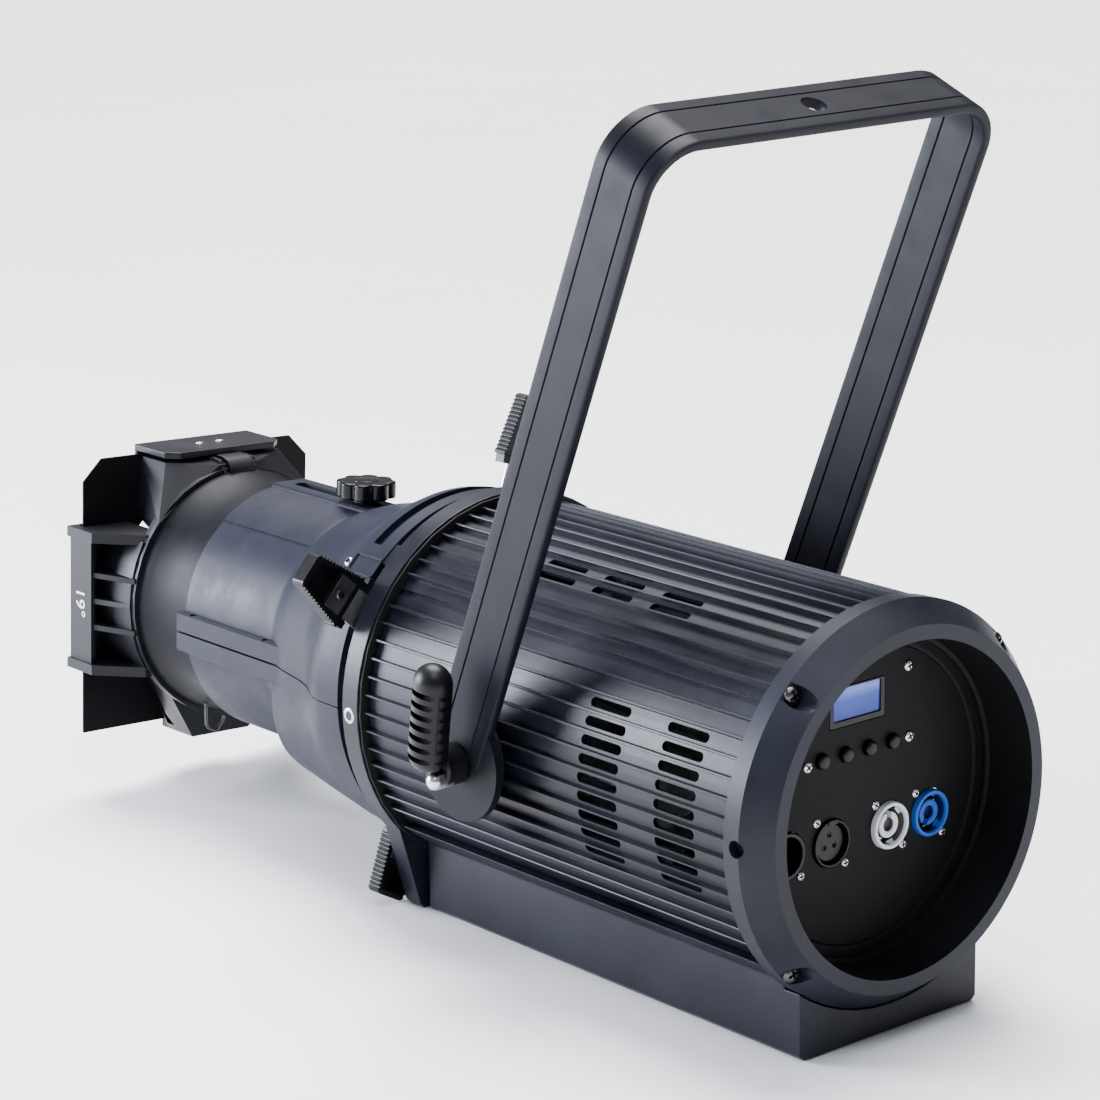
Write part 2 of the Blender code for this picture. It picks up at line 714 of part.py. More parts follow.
def shutter_handle(name, barrel, place, spin, layer):
    """A tapered grip with ribbed edges on the blade's tail; its root is thin enough to enter the slot."""
    middle = 1.7 * layer - 2.9
    edge = [(106.5, 15.0)]
    for step in range(9):
        u = 110.0 + step * 3.2
        v = 15.0 - (u - 106.5) * 0.17
        edge += [(u, v), (u + 1.6, v - 1.0)]
    edge += [(139.4, 8.6), (140.2, 7.0)]
    grip = prism(edge + [(u, -v) for u, v in reversed(edge)], middle - 4.4, middle + 4.4)
    root = prism([(102, -13.6), (108.7, -13.9), (108.7, 13.9), (102, 13.6)], middle - 3.6, middle + 3.6)
    tail_slot = prism([(100, -9.5), (112.6, -9.5), (112.6, 9.5), (100, 9.5)], -0.85, 0.85)
    piece(
        f"shutter_handle_{name}", [grip], black_plastic(), barrel, place, spin,
        unions=[[root]], cutters=[[tail_slot]],
    )


# Lens tube with its holder, gel frame and retaining door


def lens_tube(tube):
    profile = [
        (TUBE_RADIUS, TUBE_REAR_Y), (TUBE_RADIUS, -518), (67.6, -530), (FLARE_RADIUS, -542),
        (FLARE_RADIUS, -549),
        (66.0, -549), (66.0, -541), (62.6, -522), (62.6, TUBE_REAR_Y),
    ]
    stud_hole = cylinder(3.9, 50, 80, "z", 12, (0, KNOB_Y))
    piece("lens_tube", [turned(profile, 40)], black_plastic(), tube, cutters=[[stud_hole]])


def accessory_holder(tube):
    """A bracket round the tube's flare: side channels, a hood above and a foot below for the gel frame."""
    band = turned([(70, -543.0), (74.2, -543.0), (74.2, -549.4), (70, -549.4)], 40, 4.0, 364.0)
    cheeks = [turned([(69.5, -546), (75.4, -546), (75.4, -586.0), (69.5, -586.0)], 6, start, start + 59)
              for start in (-30.3, 151.3)]
    sides, ribs = [], []
    for s in (1, -1):
        sides.append(box(s * 71.0, s * 84.6, -593.0, -583.2, -41.0, 36.0))
        sides.append(box(s * 82.2, s * 85.0, -592.4, -571.0, -41.2, 36.2))
        for low, high in ((33.7, 39.6), (-44.0, -38.2)):
            plan = [(s * 86.6, -593.5), (s * 86.6, -568), (s * 64, -546.4), (s * 51.7, -546.4),
                    (s * 51.7, -586.8), (s * 70.5, -586.8), (s * 70.5, -593.5)]
            sides.append(prism(plan, low, high, "z"))
        for z in (12.6, -2.6, -18.0):
            rib = [(s * 83.4, -584), (s * 83.4, -570.5), (s * 73.5, -543.9), (s * 72.3, -543.9),
                   (s * 72.3, -584)]
            ribs.append(prism(rib, z, z + 3.0, "z"))
    hood = hull(both_sides([
        (44.5, -586.5, 43.7), (40, -586.5, 76.6), (40, -562, 76.6), (33, -557, 76.6), (14, -545, 75.4),
        (58.5, -541.8, 46.5), (54, -547, 35.5),
    ]))
    foot = hull(both_sides([
        (20, -587, -90), (20, -562, -90), (12, -559, -83), (58.5, -541.8, -40.6), (54, -547, -35.5),
        (37, -587, -55),
    ]))
    strut_gaps = [prism([(s * 70, -44), (s * 33, -51), (s * 20.5, -85), (s * 34, -88)], -583.0, -575.5)
                  for s in (1, -1)]
    heel = box(-19.5, 19.5, -594, -575, -90.4, -79)
    beam = cylinder(62.0, -549.7, -620, count=32)
    flare_space = cylinder(FLARE_RADIUS + 0.4, -500, -549.7, count=40)
    room = box(-80.6, 80.6, -591.2, -585.2, -85.4, 100)
    piece(
        "accessory_holder", [band], black_plastic(), tube,
        unions=[cheeks, [hood], [foot], *[[side] for side in sides], ribs, [heel]],
        cutters=[[beam], [flare_space], [room], strut_gaps],
    )


def gel_frame(tube):
    chamfer = 12.5
    outline = [
        (-FRAME_HALF_WIDTH, FRAME_BOTTOM), (FRAME_HALF_WIDTH, FRAME_BOTTOM),
        (FRAME_HALF_WIDTH, FRAME_TOP - chamfer),
        (FRAME_HALF_WIDTH - chamfer, FRAME_TOP), (chamfer - FRAME_HALF_WIDTH, FRAME_TOP),
        (-FRAME_HALF_WIDTH, FRAME_TOP - chamfer),
    ]
    window = cylinder(54.0, -570, -610, count=28)
    sheet = prism(outline, FRAME_Y - 0.6, FRAME_Y + 0.6)
    piece("gel_frame", [sheet], matte_black(), tube, cutters=[[window]])


def retaining_door(tube):
    """A lid with a front lip over the top of the gel frame, turning on a pin along its rear edge."""
    lid = [(-40, -591.4), (40, -591.4), (40, -563), (33, -556.5), (-33, -556.5), (-40, -563)]
    top = prism([(x, y - HINGE_Y) for x, y in lid], 78.6 - HINGE_Z, 82.6 - HINGE_Z, "z")
    front = box(-40, 40, -594 - HINGE_Y, -591.2 - HINGE_Y, 74.0 - HINGE_Z, 82.6 - HINGE_Z)
    piece("retaining_door", [top], black_plastic(), tube, (0, HINGE_Y, HINGE_Z), unions=[[front]])


def lenses(tube):
    rear = [(0, -412), (30, -414), (50, -418), (62.2, -422), (62.2, -426), (0, -426)]
    piece("rear_lens", [domed(rear, 24)], clear_glass(), tube)
    front = [(0, -548.6), (65.6, -548.6), (65.6, -541.4), (52, -537), (28, -533), (0, -531)]
    piece("front_lens", [domed(front, 24)], clear_glass(), tube)


def focus_knob(tube):
    """An eight-lobed knob whose stud passes through the rail's slot into the lens tube."""
    outline = []
    for number in range(32):
        angle = 2 * pi * number / 32
        radius = 15.2 + 1.4 * cos(8 * angle)
        outline.append((radius * cos(angle), radius * sin(angle)))
    stud = cylinder(3.5, 64.5, 80, "z", 12)
    collar = cylinder(7.6, 73.7, 78, "z", 16)
    piece("focus_knob", [prism(outline, 76.4, 86.4, "z")], black_plastic(), tube, (0, KNOB_Y, 0),
          unions=[[collar], [stud]])


def wire_clip(tube):
    """A bent spring wire under the lens tube, swept from one end to the other."""
    points = [Vector(p) for p in ((34, -529, -59.8), (33, -530, -68), (32.6, -530, -73.8), (26, -530, -77.6),
                                  (20.8, -530, -71.7), (20.4, -530, -69.6))]

    def sweep(body):
        rings = []
        for i, point in enumerate(points):
            ahead = (points[min(i + 1, len(points) - 1)] - points[max(i - 1, 0)]).normalized()
            side = ahead.cross(Vector((0, 1, 0))).normalized()
            up = side.cross(ahead)
            rings.append([body.verts.new(point + side * u + up * v) for u, v in circle(0.8, 8)])
        for here, there in zip(rings, rings[1:]):
            for i in range(8):
                j = (i + 1) % 8
                body.faces.new((here[i], here[j], there[j], there[i]))
        body.faces.new(rings[0])
        body.faces.new(rings[-1])

    piece("wire_clip", [sweep], matte_black(), tube)


def main():
    clear_scene()
    frame = empty("optical_axis", (0, REAR_FACE_Y, AXIS_HEIGHT))
    rear_bezel(frame)
    bezel_screws(frame)
    control_panel(frame)
    display(frame)
    menu_buttons(frame)
    data_input(frame)
    data_output(frame)
    power_sockets(frame)
    housing_shell(frame)
    base_housing(frame)
    front_end_plate(frame)
    heat_sink(frame)
    light_engine(frame)
    cooling_fan(frame)
    electronics(frame)
    pivots(frame)
    yoke(frame)
    barrel = empty("barrel_axis", (0, 0, 0), frame, -BARREL_TURN)
    barrel_collar(barrel)
    barrel_halves(barrel)
    shutters(barrel)
    lens_tube(barrel)
    accessory_holder(barrel)
    gel_frame(barrel)
    retaining_door(barrel)
    lenses(barrel)
    focus_knob(barrel)
    wire_clip(barrel)


main()
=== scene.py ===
"""Looks for the ellipsoidal LED spotlight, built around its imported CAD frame.

Shapes are drawn in millimetres in the lamp's own frame: the optical axis is Y through the middle of the rear
bezel, whose rear face is y = 0, and the lens points towards -Y.
"""

import json
from math import cos, pi, radians, sin

import bmesh
import bpy
from mathutils import Matrix, Vector

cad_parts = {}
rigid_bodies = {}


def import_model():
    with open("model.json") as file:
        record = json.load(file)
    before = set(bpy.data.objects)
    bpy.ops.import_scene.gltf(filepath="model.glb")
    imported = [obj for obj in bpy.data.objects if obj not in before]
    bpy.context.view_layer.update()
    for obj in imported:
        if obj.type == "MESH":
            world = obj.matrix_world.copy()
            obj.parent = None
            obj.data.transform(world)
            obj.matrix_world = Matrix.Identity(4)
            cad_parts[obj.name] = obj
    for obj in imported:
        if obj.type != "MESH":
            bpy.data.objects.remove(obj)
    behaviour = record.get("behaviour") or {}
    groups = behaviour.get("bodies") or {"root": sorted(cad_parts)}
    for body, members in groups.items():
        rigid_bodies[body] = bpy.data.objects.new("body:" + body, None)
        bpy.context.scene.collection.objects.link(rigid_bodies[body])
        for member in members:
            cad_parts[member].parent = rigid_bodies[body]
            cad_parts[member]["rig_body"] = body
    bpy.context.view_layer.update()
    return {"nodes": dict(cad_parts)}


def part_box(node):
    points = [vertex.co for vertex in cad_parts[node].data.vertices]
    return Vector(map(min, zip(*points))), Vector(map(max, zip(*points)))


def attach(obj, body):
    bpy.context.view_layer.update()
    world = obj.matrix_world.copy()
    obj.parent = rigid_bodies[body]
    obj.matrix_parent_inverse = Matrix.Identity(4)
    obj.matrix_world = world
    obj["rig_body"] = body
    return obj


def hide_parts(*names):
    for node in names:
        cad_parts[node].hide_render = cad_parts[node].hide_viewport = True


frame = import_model()

MM = 0.001
NODES = frame["nodes"]

SIDES = ((1, "right"), (-1, "left"))

# Where the lamp's own frame, its turned barrel and its tilted yoke lie
BEZEL_LOW, BEZEL_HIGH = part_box("rear_bezel")
BEZEL_CENTRE = (BEZEL_LOW + BEZEL_HIGH) / 2
BEZEL_RADIUS = (BEZEL_HIGH.x - BEZEL_LOW.x) / 2 / MM
LAMP = Matrix.Translation((BEZEL_CENTRE.x, BEZEL_HIGH.y, BEZEL_CENTRE.z))
BARREL_TURN = 3.0
BARREL = LAMP @ Matrix.Rotation(radians(-BARREL_TURN), 4, "Y")
PIVOT_Y = -204.0
YOKE_TILT = 22.8
YOKE = LAMP @ Matrix.Translation((0, PIVOT_Y * MM, 0)) @ Matrix.Rotation(radians(-YOKE_TILT), 4, "X")

# How meshes are cleaned and how their edges are found
WELD_GAP = 0.003
FLAT_ANGLE = 0.3
EDGE_ANGLE = 38
CUT_EDGE_ANGLE = 42


# Shapes


def along(axis, u, v, t):
    """The point t along an axis, with u and v on the other two."""
    return {"x": (t, u, v), "y": (u, t, v), "z": (u, v, t)}[axis]


def prism(outline, start, end, axis="y"):
    """A closed outline carried straight along an axis."""

    def build(body):
        join(body, [[body.verts.new(along(axis, u, v, t)) for u, v in outline] for t in (start, end)])

    return build


def join(body, rings):
    """Faces between neighbouring rings of vertices, and one over each end."""
    for here, there in zip(rings, rings[1:]):
        for i in range(len(here)):
            j = (i + 1) % len(here)
            body.faces.new((here[i], here[j], there[j], there[i]))
    body.faces.new(rings[0])
    body.faces.new(rings[-1])


def box(x0, x1, y0, y1, z0, z1):
    return prism(((x0, z0), (x1, z0), (x1, z1), (x0, z1)), y0, y1)


def polar(radius, angle):
    return radius * cos(radians(angle)), radius * sin(radians(angle))


def circle(radius, count, centre=(0, 0), phase=0.0):
    steps = [2 * pi * i / count + radians(phase) for i in range(count)]
    return [(centre[0] + radius * cos(a), centre[1] + radius * sin(a)) for a in steps]


def arc(radius, start, end, count, centre=(0, 0)):
    steps = [radians(start + (end - start) * i / count) for i in range(count + 1)]
    return [(centre[0] + radius * cos(a), centre[1] + radius * sin(a)) for a in steps]


def cylinder(radius, start, end, axis="y", count=48, centre=(0, 0)):
    return prism(circle(radius, count, centre), start, end, axis)


def rounded(width, height, radius, steps=6, centre=(0, 0)):
    """A rectangle's outline with round corners."""
    outline = []
    for sx, sy, start in ((1, 1, 0), (-1, 1, 90), (-1, -1, 180), (1, -1, 270)):
        middle = (centre[0] + sx * (width / 2 - radius), centre[1] + sy * (height / 2 - radius))
        outline += arc(radius, start, start + 90, steps, middle)
    return outline


def turned(profile, count, start=0.0, end=360.0, axis="y", centre=(0, 0)):
    """A closed profile of (radius, height) points turned about a line along an axis."""
    whole = abs(end - start - 360.0) < 1e-6
    turns = count if whole else count + 1

    def build(body):
        rings = []
        for i in range(turns):
            angle = radians(start + (end - start) * i / count)
            rings.append([
                body.verts.new(along(axis, centre[0] + r * cos(angle), centre[1] + r * sin(angle), t))
                for r, t in profile
            ])
        for i in range(count):
            here, there = rings[i], rings[(i + 1) % turns]
            for j in range(len(profile)):
                k = (j + 1) % len(profile)
                body.faces.new((here[j], here[k], there[k], there[j]))
        if not whole:
            body.faces.new(rings[0])
            body.faces.new(rings[-1])

    return build


def domed(profile, count, axis="y", centre=(0, 0)):
    """A profile of (radius, height) points from the axis out and back to it, turned all the way."""

    def build(body):
        first = body.verts.new(along(axis, *centre, profile[0][1]))
        last = body.verts.new(along(axis, *centre, profile[-1][1]))
        rings = [[body.verts.new(along(axis, u, v, t)) for u, v in circle(r, count, centre)]
                 for r, t in profile[1:-1]]
        for i in range(count):
            j = (i + 1) % count
            body.faces.new((first, rings[0][i], rings[0][j]))
            body.faces.new((last, rings[-1][j], rings[-1][i]))
            for inner, outer in zip(rings, rings[1:]):
                body.faces.new((inner[i], outer[i], outer[j], inner[j]))

    return build


def moved(part, matrix):
    """The same shape moved by a matrix in millimetres."""

    def build(body):
        known = set(body.verts)
        part(body)
        for vert in body.verts:
            if vert not in known:
                vert.co = matrix @ vert.co

    return build


def spun(part, angle):
    """The same shape turned about its Y axis, from +X towards +Z."""
    return moved(part, Matrix.Rotation(radians(-angle), 4, "Y"))


def swept(section, path, up):
    """A closed section carried along a path, its second axis kept near one up direction."""

    def build(body):
        rings = []
        for i, here in enumerate(path):
            before, after = path[max(i - 1, 0)], path[min(i + 1, len(path) - 1)]
            forward = (Vector(after) - Vector(before)).normalized()
            side = forward.cross(Vector(up)).normalized()
            above = side.cross(forward)
            rings.append([body.verts.new(Vector(here) + side * u + above * v) for u, v in section])
        join(body, rings)

    return build


# Pieces


def linked(name, data):
    """A new object in the scene."""
    obj = bpy.data.objects.new(name, data)
    bpy.context.scene.collection.objects.link(obj)
    return obj


def mesh_object(name, parts, place):
    """Closed shapes in millimetres as one mesh object at a place."""
    body = bmesh.new()
    for part in parts:
        part(body)
    bmesh.ops.recalc_face_normals(body, faces=body.faces)
    bmesh.ops.scale(body, vec=(MM, MM, MM), verts=body.verts)
    mesh = bpy.data.meshes.new(name)
    body.to_mesh(mesh)
    body.free()
    obj = linked(name, mesh)
    obj.matrix_world = place
    return obj


def settle(obj):
    """Makes the modifiers' result the object's own mesh."""
    bpy.context.view_layer.update()
    graph = bpy.context.evaluated_depsgraph_get()
    mesh = bpy.data.meshes.new_from_object(obj.evaluated_get(graph), depsgraph=graph)
    old = obj.data
    obj.modifiers.clear()
    obj.data = mesh
    bpy.data.meshes.remove(old)
    mesh.name = obj.name


def clean(mesh):
    """Joins split vertices and the triangles of one flat face."""
    body = bmesh.new()
    body.from_mesh(mesh)
    bmesh.ops.remove_doubles(body, verts=body.verts, dist=WELD_GAP * MM)
    bmesh.ops.dissolve_limit(body, angle_limit=radians(FLAT_ANGLE), verts=body.verts, edges=body.edges)
    body.to_mesh(mesh)
    body.free()


def soften(obj, width, segments, angle):
    """Rounds the edges and shades the faces between them smoothly."""
    clean(obj.data)
    obj.data.shade_smooth()
    if width:
        bevel = obj.modifiers.new("Edges", "BEVEL")
        bevel.width = width * MM
        bevel.segments = segments
        bevel.limit_method = "ANGLE"
        bevel.angle_limit = radians(angle)
        weigh_normals(obj)
        settle(obj)
    else:
        obj.data.set_sharp_from_angle(angle=radians(angle))


def weigh_normals(obj):
    """Keeps flat faces flat beside their rounded edges."""
    weighted = obj.modifiers.new("Normals", "WEIGHTED_NORMAL")
    weighted.mode = "FACE_AREA"
    weighted.weight = 100
    weighted.thresh = 0.01


def carve(obj, steps, place):
    """Adds shapes to an object or cuts them out; each step is an operation and its shapes."""
    helpers = []
    for operation, shapes in steps:
        helper = mesh_object(obj.name + ".helper", shapes, place)
        modifier = obj.modifiers.new(operation, "BOOLEAN")
        modifier.operation = operation
        modifier.solver = "EXACT"
        modifier.object = helper
        helpers.append(helper)
    if helpers:
        settle(obj)
    for helper in helpers:
        bpy.data.objects.remove(helper)


def piece(name, body, parts, surface, place=LAMP, edge=0.0, unions=(), cutters=(), replaces=(),
          segments=2, angle=EDGE_ANGLE):
    """One visible piece from closed shapes, riding on a body."""
    obj = mesh_object(name, parts, place)
    carve(obj, [("UNION", shapes) for shapes in unions] + [("DIFFERENCE", shapes) for shapes in cutters],
          place)
    soften(obj, edge, segments, angle)
    level(obj)
    finish(obj, surface)
    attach(obj, body)
    if replaces:
        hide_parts(*replaces)
    return obj


def level(obj):
    """Moves the object's place into its mesh, so that its own axes are the world's."""
    bpy.context.view_layer.update()
    obj.data.transform(obj.matrix_world)
    obj.matrix_world = Matrix.Identity(4)


def finish(obj, surface):
    obj.data.materials.clear()
    obj.data.materials.append(surface)


def refined(node, name, surface, edge, segments=2):
    """The CAD node's own shape with its edges rounded, shown in place of the node."""
    source = NODES[node]
    obj = linked(name, source.data.copy())
    obj.data.name = name
    soften(obj, edge, segments, EDGE_ANGLE)
    finish(obj, surface)
    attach(obj, source["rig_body"])
    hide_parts(node)


# Materials

# The share of a noise texture's range in which nearly all of its values lie
NOISE_LOW = 0.3
NOISE_HIGH = 0.7
# Heights between which the display's painted reflection brightens
DISPLAY_SHEEN_BOTTOM_Z = 39
DISPLAY_SHEEN_TOP_Z = 58


class Recipe:
    """A node material: its shader and the few texture nodes that the surfaces below share."""

    def __init__(self, name, roughness, metallic=0.0):
        self.material = bpy.data.materials.new(name)
        self.material.use_nodes = True
        self.tree = self.material.node_tree
        self.shader = self.tree.nodes["Principled BSDF"]
        self.set("Roughness", roughness)
        self.set("Metallic", metallic)
        self.coordinates = self.tree.nodes.new("ShaderNodeTexCoord").outputs["Object"]

    def set(self, name, value):
        self.shader.inputs[name].default_value = value

    def link(self, output, target):
        self.tree.links.new(output, target)

    def noise(self, scale, detail=3.0, roughness=0.55, stretch=(1, 1, 1)):
        mapping = self.tree.nodes.new("ShaderNodeMapping")
        mapping.inputs["Scale"].default_value = stretch
        texture = self.tree.nodes.new("ShaderNodeTexNoise")
        texture.inputs["Scale"].default_value = scale
        texture.inputs["Detail"].default_value = detail
        texture.inputs["Roughness"].default_value = roughness
        self.link(self.coordinates, mapping.inputs["Vector"])
        self.link(mapping.outputs["Vector"], texture.inputs["Vector"])
        return texture.outputs["Fac"]

    def ramp(self, factor, stops):
        node = self.tree.nodes.new("ShaderNodeValToRGB")
        elements = node.color_ramp.elements
        while len(elements) < len(stops):
            elements.new(0.5)
        for element, (place, colour) in zip(elements, stops):
            element.position = place
            element.color = (*colour, 1.0)
        self.link(factor, node.inputs["Fac"])
        return node.outputs["Color"]

    def tones(self, factor, dark, light, low=NOISE_LOW, high=NOISE_HIGH):
        self.link(self.ramp(factor, [(low, dark), (high, light)]), self.shader.inputs["Base Color"])

    def gloss(self, factor, low, high):
        node = self.tree.nodes.new("ShaderNodeMapRange")
        node.inputs["From Min"].default_value = NOISE_LOW
        node.inputs["From Max"].default_value = NOISE_HIGH
        node.inputs["To Min"].default_value = low
        node.inputs["To Max"].default_value = high
        self.link(factor, node.inputs["Value"])
        self.link(node.outputs["Result"], self.shader.inputs["Roughness"])

    def add(self, first, second, share):
        """The first value plus a share of the second."""
        node = self.tree.nodes.new("ShaderNodeMath")
        node.operation = "MULTIPLY_ADD"
        node.inputs[1].default_value = share
        self.link(second, node.inputs[0])
        self.link(first, node.inputs[2])
        return node.outputs["Value"]

    def bump(self, height, depth):
        """depth is the height of the relief in millimetres."""
        node = self.tree.nodes.new("ShaderNodeBump")
        node.inputs["Strength"].default_value = 1.0
        node.inputs["Distance"].default_value = depth * MM
        self.link(height, node.inputs["Height"])
        self.link(node.outputs["Normal"], self.shader.inputs["Normal"])


def powder_coat(name, dark, light, roughness, grain=0.05, shine=0.22):
    """Fine textured powder coat: small bumps that catch the light, over faint broad patches."""
    recipe = Recipe(name, roughness)
    recipe.set("Specular IOR Level", shine)
    fine, broad = recipe.noise(1500, 4.0, 0.7), recipe.noise(16, 4.0, 0.6)
    recipe.tones(recipe.add(broad, fine, 0.55), dark, light, 0.55, 1.0)
    recipe.gloss(broad, roughness - 0.05, roughness + 0.07)
    recipe.bump(fine, grain)
    return recipe.material


def smooth_paint(name, dark, light, roughness, shine):
    """Satin paint on a casting: a slight orange peel and a few duller patches."""
    recipe = Recipe(name, roughness)
    recipe.set("Specular IOR Level", shine)
    peel, broad = recipe.noise(420, 2.0, 0.5), recipe.noise(22, 5.0, 0.6)
    recipe.tones(broad, dark, light, 0.35, 0.7)
    recipe.gloss(recipe.noise(60, 4.0, 0.65), roughness - 0.04, roughness + 0.08)
    recipe.bump(peel, 0.012)
    return recipe.material


def moulded(name, dark, light, roughness, grain=0.03, scale=1100, shine=0.2):
    """Moulded plastic with a spark-eroded grain."""
    recipe = Recipe(name, roughness)
    recipe.set("Specular IOR Level", shine)
    fine, broad = recipe.noise(scale, 3.0, 0.65), recipe.noise(30, 4.0, 0.6)
    recipe.tones(broad, dark, light, 0.35, 0.7)
    recipe.gloss(broad, roughness - 0.05, roughness + 0.08)
    recipe.bump(fine, grain)
    return recipe.material


def metal(name, dark, light, roughness, stretch=(1, 1, 1)):
    """Bare or plated metal, brushed along the direction that the stretch leaves long."""
    recipe = Recipe(name, roughness, 1.0)
    lines, broad = recipe.noise(900, 4.0, 0.7, stretch), recipe.noise(60, 4.0, 0.6)
    recipe.tones(recipe.add(broad, lines, 0.4), dark, light, 0.45, 0.95)
    recipe.gloss(broad, roughness - 0.06, roughness + 0.1)
    recipe.bump(lines, 0.006)
    return recipe.material


def clear_glass(name):
    recipe = Recipe(name, 0.02)
    recipe.set("Transmission Weight", 1.0)
    recipe.set("IOR", 1.5)
    recipe.tones(recipe.noise(25), (0.93, 0.96, 0.97), (0.97, 0.99, 0.99))
    recipe.gloss(recipe.noise(80), 0.01, 0.035)
    return recipe.material


def lit_display(name):
    """A blue display with the faint dots of its cells, under a glossy window, and a painted reflection that
    makes it brighter towards the top.
    """
    recipe = Recipe(name, 0.16)
    split = recipe.tree.nodes.new("ShaderNodeSeparateXYZ")
    recipe.link(recipe.coordinates, split.inputs["Vector"])
    height = recipe.tree.nodes.new("ShaderNodeMapRange")
    height.inputs["From Min"].default_value = LAMP.translation.z + DISPLAY_SHEEN_BOTTOM_Z * MM
    height.inputs["From Max"].default_value = LAMP.translation.z + DISPLAY_SHEEN_TOP_Z * MM
    recipe.link(split.outputs["Z"], height.inputs["Value"])
    sheen_and_mottle = recipe.add(height.outputs["Result"], recipe.noise(45, 2.0), 0.35)
    # Painted reflection: deep blue at the bottom, a pale blue sheen at the top.
    blues = [(0.15, (0.015, 0.032, 0.24)), (0.75, (0.045, 0.085, 0.42)), (1.0, (0.16, 0.23, 0.62))]
    recipe.link(recipe.ramp(sheen_and_mottle, blues), recipe.shader.inputs["Base Color"])
    recipe.bump(recipe.noise(2600, 1.0), 0.004)
    recipe.set("Specular IOR Level", 0.1)
    recipe.set("Coat Weight", 0.25)
    recipe.set("Coat Roughness", 0.05)
    return recipe.material


def pale_floor(name):
    recipe = Recipe(name, 0.9)
    recipe.tones(recipe.noise(3), (0.90, 0.90, 0.905), (0.93, 0.93, 0.935))
    return recipe.material


TEXTURED = powder_coat("textured_powder_coat", (0.0028, 0.003, 0.0056), (0.012, 0.0135, 0.023), 0.38, 0.03)
BEZEL_COAT = powder_coat(
    "bezel_powder_coat", (0.0042, 0.0047, 0.0082), (0.014, 0.016, 0.0265), 0.42, shine=0.18,
)
SATIN = smooth_paint(
    "satin_barrel_paint", (0.0092, 0.0104, 0.0185), (0.0128, 0.0146, 0.0255), 0.44, 0.15,
)
YOKE_PAINT = smooth_paint(
    "satin_yoke_paint", (0.0035, 0.0039, 0.007), (0.006, 0.0067, 0.0115), 0.42, 0.1,
)
COLLAR_PAINT = smooth_paint(
    "satin_collar_paint", (0.005, 0.0056, 0.010), (0.0085, 0.0095, 0.016), 0.40, 0.14,
)
BLACK = moulded("black_moulded_plastic", (0.002, 0.002, 0.0027), (0.004, 0.004, 0.0052), 0.36)
HOLDER_BLACK = moulded(
    "holder_black_plastic", (0.0035, 0.0038, 0.006), (0.0063, 0.007, 0.0105), 0.42, 0.02, 900,
)
TUBE_BLACK = moulded(
    "lens_tube_black", (0.0035, 0.0038, 0.0058), (0.0062, 0.0068, 0.0102), 0.48, 0.015, 700, 0.1,
)
GLOSS_BLACK = moulded(
    "glossy_black_plastic", (0.0025, 0.0025, 0.0034), (0.005, 0.005, 0.0065), 0.24, 0.008,
)
# A black gasket ring that stands mostly for painted shade on the front flange's rear face.
FLANGE_SHADE_RUBBER = moulded("black_gasket_and_flange_shade", (0.004, 0.004, 0.0045), (0.007, 0.007, 0.008), 0.72, 0.03, 800)
SHEET_BLACK = powder_coat(
    "panel_black_paint", (0.0016, 0.0016, 0.002), (0.005, 0.005, 0.0062), 0.55, 0.02, 0.1,
)
SCREW = metal("plated_screw_steel", (0.42, 0.42, 0.43), (0.72, 0.72, 0.74), 0.25)
BLADE = metal("brushed_blade_steel", (0.36, 0.36, 0.37), (0.55, 0.55, 0.57), 0.34, (0.06, 1, 1))
PLATE_METAL = metal("grip_plate_steel", (0.12, 0.12, 0.125), (0.22, 0.22, 0.23), 0.38)
DARK_METAL = metal("darkened_steel", (0.05, 0.05, 0.052), (0.11, 0.11, 0.115), 0.36, (0.1, 1, 1))
CASE = metal("case_sheet_steel", (0.40, 0.40, 0.41), (0.55, 0.55, 0.56), 0.42, (1, 0.08, 1))
ALUMINIUM = metal("bare_aluminium", (0.60, 0.61, 0.63), (0.76, 0.77, 0.79), 0.38, (1, 0.1, 1))
GLASS = clear_glass("clear_glass")
DISPLAY = lit_display("blue_display")
BLUE = moulded("blue_socket_plastic", (0.006, 0.075, 0.36), (0.012, 0.11, 0.46), 0.3, 0.006)
# Painted shade: darker copies of the blue and pale socket plastics for the sockets' deep channels.
BLUE_CHANNEL_SHADE = moulded("blue_socket_channel_shade", (0.001, 0.008, 0.06), (0.002, 0.014, 0.09), 0.5, 0.006)
GREY_CHANNEL_SHADE = moulded("pale_socket_channel_shade", (0.06, 0.06, 0.065), (0.11, 0.11, 0.115), 0.5, 0.006)
GREY = moulded("pale_socket_plastic", (0.58, 0.59, 0.61), (0.70, 0.71, 0.73), 0.34, 0.006)
GREEN = moulded("green_circuit_board", (0.008, 0.09, 0.035), (0.02, 0.16, 0.06), 0.4, 0.01)
WHITE_PRINT = moulded("white_print", (0.72, 0.72, 0.72), (0.82, 0.82, 0.82), 0.5, 0.004)
# Painted shade: near-black for the bottoms of screw recesses and bezel pockets.
RECESS_SHADE = moulded("painted_recess_shade", (0.004, 0.004, 0.005), (0.007, 0.007, 0.008), 0.8, 0.01)


# Shared details


def at(x, y, z, place=LAMP):
    return place @ Matrix.Translation((x * MM, y * MM, z * MM))


def radial(angle, radius, y, place=LAMP):
    """A place on a round surface, with its local +Y pointing outwards."""
    turn = Matrix.Rotation(radians(-angle), 4, "Y")
    out = Matrix.Translation((radius * MM, y * MM, 0))
    return place @ turn @ out @ Matrix.Rotation(-pi / 2, 4, "Z")


def shade_hollow(obj, surface, place, nearest, farthest, top, bottom=-50.0):
    """Paints shade into a hollow: gives a darker material to the faces between two heights and between two
    distances from the +Y axis.
    """
    obj.data.materials.append(surface)
    index = len(obj.data.materials) - 1
    inverse = place.inverted()
    for face in obj.data.polygons:
        spot = inverse @ face.center / MM
        if nearest < Vector((spot.x, spot.z)).length < farthest and bottom < spot.y < top:
            face.material_index = index


